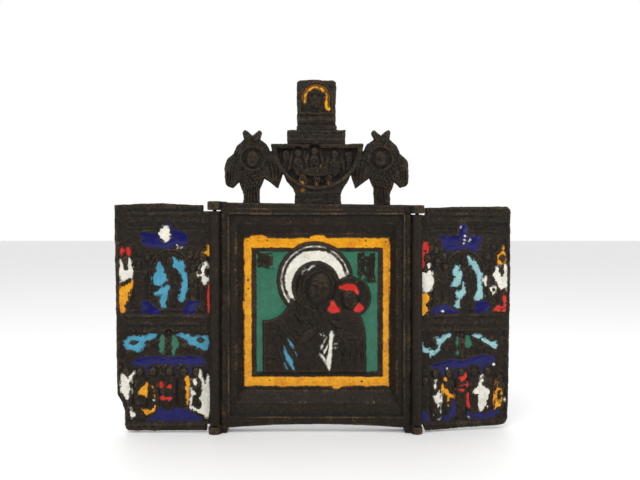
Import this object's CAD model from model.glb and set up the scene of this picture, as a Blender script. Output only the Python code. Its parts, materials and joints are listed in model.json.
import functools
import json
import math

import bpy
import numpy as np
from bpy.props import FloatProperty, FloatVectorProperty, PointerProperty
from bpy.types import Operator, Panel, PropertyGroup
from mathutils import Matrix


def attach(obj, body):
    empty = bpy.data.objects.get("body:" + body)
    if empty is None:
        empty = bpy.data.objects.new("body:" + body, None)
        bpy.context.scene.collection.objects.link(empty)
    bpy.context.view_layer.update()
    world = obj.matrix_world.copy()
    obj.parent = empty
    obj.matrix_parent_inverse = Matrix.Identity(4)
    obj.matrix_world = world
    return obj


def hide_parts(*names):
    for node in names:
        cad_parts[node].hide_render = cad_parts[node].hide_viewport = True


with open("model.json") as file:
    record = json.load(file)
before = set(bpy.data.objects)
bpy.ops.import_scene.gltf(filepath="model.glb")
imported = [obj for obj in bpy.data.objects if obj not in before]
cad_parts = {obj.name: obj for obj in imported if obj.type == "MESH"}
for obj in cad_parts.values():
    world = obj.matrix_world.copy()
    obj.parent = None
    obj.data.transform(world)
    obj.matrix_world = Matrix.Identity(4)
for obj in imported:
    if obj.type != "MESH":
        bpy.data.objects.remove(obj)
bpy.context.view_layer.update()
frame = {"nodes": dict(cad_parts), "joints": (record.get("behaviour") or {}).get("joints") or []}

bl_info = {
    "name": "Travelling triptych",
    "version": (1, 0, 0),
    "blender": (4, 5, 0),
    "location": "3D View > Sidebar > Triptych",
    "description": "Casts the leaf, crest and wings of a small folding triptych and fills them with enamel",
    "category": "Mesh",
}

# Lengths are in millimetres until a piece is placed. A sheet of relief is worked lying down, with
# x across, y up the leaf and z its height towards the viewer, and is stood up when it is done.
MM = 0.001
AXIS = {joint["name"]: joint["pos_m"] for joint in frame["joints"]}
AXIS_DEPTH = -0.3
LEFT_AXIS_X = -25.9
RIGHT_AXIS_X = 25.6
RIGHT_SWING = math.radians(9)
ORIGIN_X = AXIS["left_wing_hinge"][0] / MM - LEFT_AXIS_X
ORIGIN_Y = AXIS["left_wing_hinge"][1] / MM - AXIS_DEPTH
STAND_UP = Matrix.Rotation(math.pi / 2, 4, "X")
LEAF_PLACE = Matrix.Scale(MM, 4) @ Matrix.Translation((ORIGIN_X, ORIGIN_Y, 0)) @ STAND_UP

# Centre leaf
LEAF_LEFT, LEAF_RIGHT = -24.5, 24.2
LEAF_FOOT, LEAF_ARCH = 1.1, 1.05
LEAF_TOP_LEFT, LEAF_TOP_RIGHT = 59.1, 58.4
LEAF_BACK = -4.2
RIM = (-22.2, 22.2, 4.2, 55.9)
LEDGE = (-20.6, 20.6, 7.5, 53.5)
FLOOR = (-19.2, 19.2, 10.4, 50.8)
RIM_DROP, LEDGE_DROP, FLOOR_DROP = 0.6, 1.4, 3.0
PICTURE_BACK = -3.8

# Hinges: the lugs belong to the leaf, the barrels to the wings
BARREL_R = 1.34
LIP_REACH = 1.05
LIP_HEIGHTS = (-1.35, -0.9)
BORE_R = 0.8
LUGS = (
    # axis x, web x, radius, low z, high z
    (LEFT_AXIS_X, -22.9, 1.7, 0.0, 1.85),
    (LEFT_AXIS_X, -22.9, 1.85, 57.1, 59.3),
    (RIGHT_AXIS_X, 22.6, 1.5, 0.0, 1.85),
    (RIGHT_AXIS_X, 22.6, 1.85, 56.2, 58.3),
)

# Wings, measured outwards from the hinge axis
WING_FACE, WING_BACK, PANEL_FLOOR = -0.3, -2.3, -0.85
UPPER_PANEL = (1.5, 24.6, 30.4, 53.6)
LOWER_PANEL = (1.5, 24.6, 2.7, 25.6)
LEFT_OUTLINE = (
    (25.75, 58.4), (19, 58.75), (13, 58.85), (8, 58.5), (3.1, 58.4), (3.1, 56.8), (0.6, 56.8), (0.6, 2.15),
    (2.2, 2.15), (2.2, 0.5), (22.4, 0.5), (23.0, 1.0), (23.3, 2.1), (23.3, 5.6), (24.1, 7.7), (25.2, 9.8),
)
RIGHT_OUTLINE = (
    (24.6, 58.1), (12, 58.0), (2.5, 57.7), (2.5, 55.9), (0.6, 55.9), (0.6, 2.15), (2.0, 2.15), (2.6, 0.35),
    (14, 0.75), (22.4, 0.95), (24.2, 1.4), (25.0, 2.6), (25.5, 40), (25.5, 57.2),
)

# Crest
CREST_FACE, CREST_BACK = -0.9, -3.4
BOWL_X, BOWL_Z, BOWL_R = 0.2, 74.1, 11.8
SERAPHS = ((-16.3, 1), (16.4, -1))


# ---- Settings ----

class CastingSettings(PropertyGroup):
    leaf_step: FloatProperty(
        name="Leaf step", description="Spacing of the mesh on the centre leaf, in millimetres",
        default=0.19, min=0.12, max=1.0)
    fine_step: FloatProperty(
        name="Fine step", description="Spacing of the mesh on the wings, picture and crest, in millimetres",
        default=0.155, min=0.1, max=1.0)
    enamel_step: FloatProperty(
        name="Enamel step", description="Spacing of the mesh on the enamel, in millimetres",
        default=0.19, min=0.12, max=1.0)
    grain: FloatProperty(
        name="Grain", description="Height of the sand grain on the castings, in millimetres",
        default=0.05, min=0.0, max=0.2)


def colour(name, description, value):
    return FloatVectorProperty(
        name=name, description=description, subtype="COLOR", size=4, min=0, max=1, default=(*value, 1))


class FinishSettings(PropertyGroup):
    patina: colour("Patina", "Dark skin of the bronze", (0.0125, 0.0088, 0.0058))
    bare: colour("Rubbed bronze", "Bronze where handling has rubbed it", (0.085, 0.058, 0.034))
    brass: colour("Bright bronze", "Worn corners and lugs", (0.26, 0.17, 0.08))
    grime: colour("Grime", "Dirt in the hollows", (0.0045, 0.0037, 0.003))
    yellow: colour("Yellow enamel", "Opaque yellow enamel", (0.80, 0.365, 0.008))
    green: colour("Green enamel", "Opaque green enamel", (0.030, 0.150, 0.088))
    white: colour("White enamel", "Opaque white enamel", (0.80, 0.77, 0.67))
    red: colour("Red enamel", "Opaque red enamel", (0.66, 0.022, 0.014))
    dark_blue: colour("Dark blue enamel", "Deep blue enamel", (0.006, 0.005, 0.10))
    light_blue: colour("Light blue enamel", "Opaque light blue enamel", (0.065, 0.31, 0.45))
    pale_blue: colour("Pale blue enamel", "The lighter blue of the right wing", (0.28, 0.52, 0.54))


class StageSettings(PropertyGroup):
    distance: FloatProperty(
        name="Distance", description="Camera to the front of the rim", default=0.170, min=0.05, unit="LENGTH")
    height: FloatProperty(
        name="Height", description="Camera above the floor", default=0.052, min=0.0, unit="LENGTH")
    aside: FloatProperty(
        name="Aside", description="Camera to the right of the middle of the leaf", default=0.0009,
        unit="LENGTH")
    lens: FloatProperty(
        name="Lens", description="Focal length on a 36 mm sensor", default=37.5, min=10, unit="CAMERA")
    key_light: FloatProperty(
        name="Key light", description="Power of the soft box above the camera, in watts", default=1.5, min=0)
    room_light: FloatProperty(
        name="Room light", description="Strength of the white room", default=1.0, min=0)


# ---- Drawing regions: distance in mm, below zero inside ----

def slab(x, z, x0, x1, z0, z1):
    return np.maximum(np.maximum(x0 - x, x - x1), np.maximum(z0 - z, z - z1))


def disc(x, z, cx, cz, r):
    return np.hypot(x - cx, z - cz) - r


def oval(x, z, cx, cz, rx, rz, turn=0.0):
    c, s = math.cos(math.radians(turn)), math.sin(math.radians(turn))
    u, v = (x - cx) * c + (z - cz) * s, (z - cz) * c - (x - cx) * s
    return (np.hypot(u / rx, v / rz) - 1) * min(rx, rz)


def curve(points, closed=True, steps=6):
    """Points along a smooth curve through the given ones."""
    p = np.asarray(points, float)
    count = len(p)
    spans = range(count if closed else count - 1)
    found = []
    for i in spans:
        if closed:
            a, b, c, d = (p[(i + k) % count] for k in (-1, 0, 1, 2))
        else:
            a, b, c, d = (p[min(max(i + k, 0), count - 1)] for k in (-1, 0, 1, 2))
        for t in np.arange(steps) / steps:
            found.append(
                b + 0.5 * t * (c - a + t * (2 * a - 5 * b + 4 * c - d + t * (3 * (b - c) + d - a))))
    if not closed:
        found.append(p[-1])
    return np.array(found)


def polygon(x, z, points):
    """Signed distance to a closed outline."""
    p = np.asarray(points, float)
    nearest = np.full(x.shape, 1e9)
    inside = np.zeros(x.shape, bool)
    for (ax, az), (bx, bz) in zip(p, np.roll(p, -1, axis=0)):
        ex, ez = bx - ax, bz - az
        length = max(ex * ex + ez * ez, 1e-12)
        t = np.clip(((x - ax) * ex + (z - az) * ez) / length, 0, 1)
        nearest = np.minimum(nearest, (x - ax - t * ex) ** 2 + (z - az - t * ez) ** 2)
        if az != bz:
            crosses = (az > z) != (bz > z)
            inside ^= crosses & (x < ax + (z - az) * ex / ez)
    return np.where(inside, -1, 1) * np.sqrt(nearest)


def blob(x, z, points):
    """Signed distance to a smooth closed outline, only worked out near it."""
    line = curve(points)
    (x0, z0), (x1, z1) = line.min(0) - 1.0, line.max(0) + 1.0
    near = (x > x0) & (x < x1) & (z > z0) & (z < z1)
    found = np.full(x.shape, 9.0)
    if near.any():
        found[near] = polygon(x[near], z[near], line)
    return found


def streak(x, z, points, width):
    """Signed distance to a stroke that runs through the points and thins at its ends."""
    line = curve(points, closed=False, steps=4)
    (x0, z0), (x1, z1) = line.min(0) - width - 1.0, line.max(0) + width + 1.0
    near = (x > x0) & (x < x1) & (z > z0) & (z < z1)
    found = np.full(x.shape, 9.0)
    if near.any():
        distance, along = to_line(x[near], z[near], line)
        found[near] = distance - width * (1 - np.abs(2 * along - 1) ** 3)
    return found


def to_line(x, z, line):
    """Distance to an open line and the share of its length at the nearest point."""
    nearest = np.full(x.shape, 1e9)
    along = np.zeros(x.shape)
    pieces = len(line) - 1
    for i in range(pieces):
        (ax, az), (bx, bz) = line[i], line[i + 1]
        ex, ez = bx - ax, bz - az
        t = np.clip(((x - ax) * ex + (z - az) * ez) / max(ex * ex + ez * ez, 1e-12), 0, 1)
        d = (x - ax - t * ex) ** 2 + (z - az - t * ez) ** 2
        closer = d < nearest
        nearest = np.where(closer, d, nearest)
        along = np.where(closer, (i + t) / pieces, along)
    return np.sqrt(nearest), along


def ramp(low, high, value):
    t = np.clip((value - low) / (high - low), 0, 1)
    return t * t * (3 - 2 * t)


def hills(x, z, size, seed):
    """Smooth random hills about size mm across, from -1 to 1."""
    table = np.random.default_rng(seed).uniform(-1, 1, (128, 128))
    u, v = x / size + 300, z / size + 300
    i, j = np.floor(u).astype(int), np.floor(v).astype(int)
    fu, fv = u - i, v - j
    fu, fv = fu * fu * (3 - 2 * fu), fv * fv * (3 - 2 * fv)
    i, j, i1, j1 = i % 128, j % 128, (i + 1) % 128, (j + 1) % 128
    low = table[i, j] * (1 - fu) + table[i1, j] * fu
    high = table[i, j1] * (1 - fu) + table[i1, j1] * fu
    return low * (1 - fv) + high * fv


def soften(values, cells):
    """A blur about so many cells wide, from three passes of a running mean each way."""
    reach = max(int(cells), 1)
    out = values
    for axis in (0, 1):
        for _ in range(3):
            pad = [(0, 0), (0, 0)]
            pad[axis] = (reach + 1, reach)
            total = np.cumsum(np.pad(out, pad, mode="edge"), axis=axis)
            width = 2 * reach + 1
            if axis == 0:
                out = (total[width:] - total[:-width]) / width
            else:
                out = (total[:, width:] - total[:, :-width]) / width
    return out


# Where two enamels meet, the one named first keeps its ground.
FIRING = ("white", "red", "yellow", "amber", "light_blue", "green", "dark_blue")


class Relief:
    """Heights in mm on a fine grid of x and z, built up and cut back by simple strokes."""

    STEP = 0.1

    def __init__(self, x0, x1, z0, z1, level):
        self.x0, self.z0 = x0, z0
        self.x, self.z = np.meshgrid(
            np.arange(x0, x1 + self.STEP, self.STEP), np.arange(z0, z1 + self.STEP, self.STEP))
        self.h = np.full(self.x.shape, float(level))
        self.enamels = {}

    def window(self, x0, x1, z0, z1):
        rows, columns = self.h.shape
        i0 = min(max(int((x0 - self.x0) / self.STEP), 0), columns)
        i1 = min(max(int((x1 - self.x0) / self.STEP) + 2, 0), columns)
        j0 = min(max(int((z0 - self.z0) / self.STEP), 0), rows)
        j1 = min(max(int((z1 - self.z0) / self.STEP) + 2, 0), rows)
        return slice(j0, j1), slice(i0, i1)

    def level(self, region, height, edge=0.15):
        """Brings the inside of a region to a height, with a soft step at its edge."""
        self.h += (height - self.h) * ramp(edge, -edge, region)

    def add(self, region, rise, edge=0.15):
        self.h += rise * ramp(edge, -edge, region)

    def mound(self, x, z, rx, rz, base, rise, turn=0.0, flat=1.0):
        """A rounded lump that stands on base; below what is already there it doesn't show."""
        reach = max(rx, rz)
        w = self.window(x - reach, x + reach, z - reach, z + reach)
        c, s = math.cos(math.radians(turn)), math.sin(math.radians(turn))
        dx, dz = self.x[w] - x, self.z[w] - z
        u, v = (dx * c + dz * s) / rx, (dz * c - dx * s) / rz
        inside = np.clip(1 - u * u - v * v, 0, 1)
        top = base + rise * np.minimum(np.sqrt(inside) * flat, 1)
        self.h[w] = np.where(inside > 0, np.maximum(self.h[w], top), self.h[w])

    def press(self, x, z, rx, rz, rise, turn=0.0):
        """Adds a soft swelling, or a hollow where rise is below zero."""
        reach = 2.2 * max(rx, rz)
        w = self.window(x - reach, x + reach, z - reach, z + reach)
        c, s = math.cos(math.radians(turn)), math.sin(math.radians(turn))
        dx, dz = self.x[w] - x, self.z[w] - z
        u, v = (dx * c + dz * s) / rx, (dz * c - dx * s) / rz
        self.h[w] += rise * np.exp(-1.4 * (u * u + v * v))

    def stroke(self, points, width, rise, taper=True):
        """A raised line through the points, or a cut one where rise is below zero."""
        line = curve(points, closed=False, steps=4) if len(points) > 2 else np.asarray(points, float)
        (x0, z0), (x1, z1) = line.min(0) - 2 * width, line.max(0) + 2 * width
        w = self.window(x0, x1, z0, z1)
        if self.h[w].size == 0:
            return
        distance, along = to_line(self.x[w], self.z[w], line)
        strength = rise * np.exp(-((distance / (0.6 * width)) ** 2))
        if taper:
            strength = strength * np.clip(6 * along, 0, 1) * np.clip(6 * (1 - along), 0, 1)
        self.h[w] += strength

    def circle(self, x, z, r, width, rise, squash=1.0):
        reach = r + 2 * width
        w = self.window(x - reach, x + reach, z - reach, z + reach)
        distance = np.hypot(self.x[w] - x, (self.z[w] - z) / squash) - r
        self.h[w] += rise * np.exp(-((distance / (0.6 * width)) ** 2))

    def sand(self, grain, seed):
        """The grain of the sand mould, with a few blisters."""
        x, z = self.x, self.z
        self.h += grain * (0.55 * hills(x, z, 0.42, seed) + 0.5 * hills(x, z, 0.85, seed + 1))
        self.h += grain * 1.1 * hills(x, z, 2.6, seed + 2)
        blister = hills(x, z, 0.7, seed + 3)
        self.h += grain * 2.2 * ramp(0.62, 0.95, blister) - grain * 2.0 * ramp(-0.62, -0.95, blister)

    def at(self, x, z, values=None):
        """The height, or another map's value, at any places."""
        values = self.h if values is None else values
        u = np.clip((x - self.x0) / self.STEP, 0, values.shape[1] - 1.001)
        v = np.clip((z - self.z0) / self.STEP, 0, values.shape[0] - 1.001)
        i, j = u.astype(int), v.astype(int)
        fu, fv = u - i, v - j
        low = values[j, i] * (1 - fu) + values[j, i + 1] * fu
        high = values[j + 1, i] * (1 - fu) + values[j + 1, i + 1] * fu
        return low * (1 - fv) + high * fv

    def enamel(self, name, region):
        """Marks a region that holds this enamel; regions of one enamel join."""
        known = self.enamels.get(name)
        self.enamels[name] = region if known is None else np.minimum(known, region)

    def settle_enamel(self, depth, seed, ragged=1.0):
        """Sinks the beds for the enamel and works out the enamel's own surface over them."""
        ground = soften(self.h, 6)
        stands = np.clip(self.h - ground, -0.2, 0.2)
        chips = 0.19 * hills(self.x, self.z, 0.8, seed) + 0.16 * hills(self.x, self.z, 0.38, seed + 1)
        chips = ragged * (chips + 1.6 * stands)
        self.glass = {}
        taken = np.full(self.x.shape, 9.0)
        for name in sorted(self.enamels, key=FIRING.index):
            region = np.maximum(self.enamels[name] + chips, 0.1 - taken)
            taken = np.minimum(taken, region)
            self.enamels[name] = region
            self.h -= depth * ramp(0.12, -0.2, region)
            crown = 0.1 * ramp(0, -1.0, region) + 0.03 * hills(self.x, self.z, 1.7, seed + 2)
            self.glass[name] = ground - 0.07 + crown

    def wear(self, keep, level, lump, seed):
        """Wears the carving down towards a level and roughens it with small lumps."""
        self.h = level + keep * (self.h - level)
        self.h += lump * (0.6 * hills(self.x, self.z, 0.75, seed) + 0.6 * hills(self.x, self.z, 1.3, seed + 1))
        self.h += lump * (0.5 * hills(self.x, self.z, 0.4, seed + 2) + 0.4 * hills(self.x, self.z, 3.1, seed + 3))

    def maps(self):
        """How far each place stands out of what is round it, close by and further off."""
        near = (self.h - soften(self.h, 3)) / 0.06
        far = (self.h - soften(self.h, 9)) / 0.25
        return {"stands_out": np.clip(near, -2, 2), "shelter": np.clip(far, -2, 2)}


# ---- Figures in low relief ----

def calm_face(relief, x, z, width, height, base, rise, turn=0.0):
    """A plain oval face with even features at the usual places."""
    relief.mound(x, z, width, height, base, rise, turn, flat=1.15)
    c, s = math.cos(math.radians(turn)), math.sin(math.radians(turn))

    def place(u, v):
        u, v = u * width, v * height
        return x + u * c - v * s, z + u * s + v * c

    size = width
    for side in (-1, 1):
        relief.press(*place(side * 0.4, 0.08), 0.26 * size, 0.16 * size, -0.16 * rise, turn)
        relief.press(*place(side * 0.4, 0.07), 0.15 * size, 0.08 * size, 0.14 * rise, turn)
        brow = [place(side * 0.12, 0.26), place(side * 0.4, 0.34), place(side * 0.68, 0.22)]
        relief.stroke(brow, 0.13 * size, 0.10 * rise)
        lid = [place(side * 0.2, 0.09), place(side * 0.4, 0.16), place(side * 0.6, 0.07)]
        relief.stroke(lid, 0.07 * size, -0.07 * rise)
        relief.press(*place(side * 0.45, -0.3), 0.3 * size, 0.3 * size, 0.07 * rise, turn)
    relief.stroke([place(0, 0.26), place(0, -0.16)], 0.15 * size, 0.2 * rise, taper=False)
    relief.press(*place(0, -0.17), 0.17 * size, 0.11 * size, 0.13 * rise, turn)
    relief.stroke([place(-0.26, -0.44), place(0, -0.42), place(0.26, -0.44)], 0.09 * size, -0.13 * rise)
    relief.stroke([place(-0.2, -0.5), place(0, -0.53), place(0.2, -0.5)], 0.12 * size, 0.08 * rise)
    relief.stroke([place(-0.2, -0.38), place(0, -0.36), place(0.2, -0.38)], 0.1 * size, 0.06 * rise)
    relief.press(*place(0, -0.78), 0.24 * size, 0.16 * size, 0.08 * rise, turn)


def halo(relief, x, z, r, base, rise=0.16):
    relief.level(disc(relief.x, relief.z, x, z, r), base, 0.1)
    relief.circle(x, z, r, 0.28, rise)


def saint(relief, x, foot, height, base, half=None, lean=0.0, head=None, turned=0.0, staff=False):
    """A robed figure, standing, with folds, a ring of light and a bent arm."""
    half = height * 0.15 if half is None else half
    head = height * 0.085 if head is None else head
    top = foot + height
    hx = x + lean
    halo(relief, hx, top - head, head * 1.75, base + 0.1)
    relief.mound(x, foot + 0.42 * height, half, 0.47 * height, base, 0.5, flat=1.25)
    relief.mound(x, foot + 0.68 * height, half * 1.1, 0.15 * height, base, 0.56, flat=1.2)
    relief.mound(x, foot + 0.08 * height, half * 1.05, 0.12 * height, base, 0.4)
    for k in range(-2, 3):
        a = x + k * half * 0.25
        b = x + k * half * 0.45
        relief.stroke([(a, foot + 0.62 * height), (0.5 * (a + b) + 0.1, foot + 0.3 * height), (b, foot)], 0.24, -0.16)
    side = 1 if turned >= 0 else -1
    elbow = (x + side * half * 0.9, foot + 0.55 * height)
    relief.stroke([(x + side * half * 0.7, foot + 0.72 * height), elbow, (x - side * half * 0.2, foot + 0.62 * height)],
                  0.5, 0.2)
    if staff:
        relief.stroke([(x - side * half, foot), (x - side * half * 0.8, top - head)], 0.25, 0.3)
    calm_face(relief, hx, top - head, head * 0.8, head, base + 0.12, 0.55, turned * 4)
    relief.stroke([(hx - head * 0.8, top - head * 1.2), (hx, top + head * 0.1), (hx + head * 0.8, top - head * 1.2)],
                  0.3, 0.12)


def false_script(relief, x0, x1, z0, z1, rise, seed, row=1.3):
    """Rows of short upright strokes that spell nothing."""
    random = np.random.default_rng(seed)
    z = z1
    while z - row >= z0 - 0.2:
        x = x0
        while x < x1:
            tilt = random.uniform(-0.15, 0.15)
            reach = random.uniform(0.55, 0.85) * row
            relief.stroke([(x, z - 0.15), (x + tilt, z - 0.15 - reach)], 0.24, rise, taper=False)
            if random.uniform() < 0.35:
                relief.stroke([(x, z - 0.3), (x + 0.45, z - 0.3 - 0.3 * reach)], 0.2, rise, taper=False)
            x += random.uniform(0.42, 0.75)
        z -= row


def hatching(relief, region, box, count, angles, lengths, seed):
    """Fine cut and raised strokes, scattered over the part of a box that lies inside a region."""
    random = np.random.default_rng(seed)
    x0, x1, z0, z1 = box
    for _ in range(count):
        x, z = random.uniform(x0, x1), random.uniform(z0, z1)
        angle, reach = math.radians(random.uniform(*angles)), 0.5 * random.uniform(*lengths)
        dx, dz = reach * math.cos(angle), reach * math.sin(angle)
        sag = random.uniform(-0.12, 0.12) * reach
        rise = random.choice([-0.15, -0.12, 0.1, 0.13])
        ends = region(np.array([x - dx, x + dx]), np.array([z - dz, z + dz]))
        if ends.max() < -0.2:
            relief.stroke([(x - dx, z - dz), (x + sag, z - sag), (x + dx, z + dz)], 0.2, rise)


def scales(relief, region, angle, size, rise):
    """Overlapping small feathers over a region, in rows across an angle."""
    c, s = math.cos(math.radians(angle)), math.sin(math.radians(angle))
    u = (relief.x * c + relief.z * s) / size
    v = (relief.z * c - relief.x * s) / (size * 0.8)
    row = np.floor(v)
    fu = (u + 0.5 * (row % 2)) % 1 - 0.5
    fv = v - row
    tip = np.clip(1 - (fu / 0.5) ** 2 - ((fv - 0.9) / 0.95) ** 2, 0, 1)
    relief.h += rise * (np.sqrt(tip) - 0.5) * ramp(0.05, -0.35, region)


# ---- Centre leaf ----

def leaf_outline(x, z):
    along = (x - LEAF_LEFT) / (LEAF_RIGHT - LEAF_LEFT)
    foot = LEAF_FOOT + 4 * LEAF_ARCH * along * (1 - along)
    top = LEAF_TOP_LEFT + (LEAF_TOP_RIGHT - LEAF_TOP_LEFT) * along
    edge = np.maximum(np.maximum(LEAF_LEFT - x, x - LEAF_RIGHT), np.maximum(foot - z, z - top))
    return edge + 0.035 * hills(x, z, 2.4, 3) + 0.02 * hills(x, z, 0.6, 4) + 0.03


def crown_edge(relief, region, r):
    """Rounds the front down towards an outline."""
    t = np.clip(r + region, 0, r)
    relief.h -= r - np.sqrt(r * r - t * t)


@functools.lru_cache(maxsize=None)
def leaf_relief():
    relief = Relief(-25.0, 25.0, 0.6, 59.8, 0.0)
    x, z = relief.x, relief.z
    wobble = 0.07 * hills(x, z, 5.0, 11) + 0.04 * hills(x, z, 1.3, 12)
    rim, ledge, floor = (slab(x, z, *box) + wobble for box in (RIM, LEDGE, FLOOR))
    relief.h -= RIM_DROP * ramp(0.18, -0.22, rim)
    across = np.clip(-rim / np.maximum(ledge - rim, 0.2), 0, 1)
    relief.h -= (LEDGE_DROP - RIM_DROP) * across ** 1.4
    fall = np.clip(-ledge / np.maximum(floor - ledge, 0.2), 0, 1)
    relief.h -= (FLOOR_DROP - LEDGE_DROP) * fall
    worn = 0.6 + 0.5 * hills(x, z, 3.5, 17)
    relief.h += 0.09 * worn * np.exp(-((rim / 0.35) ** 2))
    relief.h += 0.12 * worn * np.exp(-(((ledge - 0.1) / 0.3) ** 2))
    relief.h -= 0.10 * np.exp(-(((rim - 0.75) / 0.35) ** 2))
    # The rails were filed along their length.
    rail = ramp(0.4, -0.2, np.minimum(55.6 - z, z - 4.4))
    relief.h += 0.05 * rail * hills(x / 9, z * 2.2, 1.0, 13)
    stile = ramp(0.3, -0.3, 20.9 - np.abs(x)) * (1 - rail)
    relief.h += 0.05 * stile * hills(x * 2.4, z / 9, 1.0, 14)
    relief.stroke([(-23.2, 57.4), (0, 57.2), (23.2, 56.9)], 0.35, 0.12)
    relief.stroke([(-23.0, 3.1), (0, 3.3), (23.0, 3.0)], 0.35, 0.12)
    relief.wear(1.0, 0.0, 0.05, 24)
    relief.sand(bpy.context.scene.triptych_casting.grain * 1.0, 20)
    crown_edge(relief, leaf_outline(x, z), 0.35)
    # The picture is a casting of its own, let into the floor.
    relief.h = np.where(slab(x, z, *PICTURE) < -0.1, PICTURE_BACK + 0.2, relief.h)
    return relief


def cloak_region(x, z):
    shoulder = [(-13.9, 28.4), (-12.0, 28.7), (-9.9, 29.5), (-7.9, 31.4), (-6.6, 34.5)]
    right = [(6.0, 36.5), (7.6, 31.5), (10.5, 30.7), (11.8, 28.2), (12.6, 25.2), (12.8, 20.0), (12.8, 14.6)]
    outline = [(-13.9, 14.6), *curve(shoulder, closed=False, steps=4), *curve(right, closed=False, steps=4)]
    return polygon(x, z, outline)


# Burst bubbles in the yellow border: x, z and radius
PITS = (
    (-12.2, 12.9, 0.2), (11.75, 12.6, 0.3), (8.6, 13.1, 0.12), (-12.8, 49.3, 0.25), (12.8, 49.2, 0.25),
    (12.9, 47.9, 0.15), (18.0, 48.95, 0.25), (11.2, 49.3, 0.15), (-17.8, 39.0, 0.3), (-17.7, 36.8, 0.25),
    (-18.3, 35.2, 0.15), (-15.1, 49.2, 0.15), (-17.9, 49.2, 0.12), (17.6, 20.4, 0.15), (-4.9, 12.2, 0.1),
    (-10.8, 27.9, 0.01),
)
MOTHER_HALO = (-0.4, 39.0)
CHILD_HALO = (8.7, 34.6)
PICTURE = (-19.25, 19.25, 10.35, 50.85)


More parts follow.
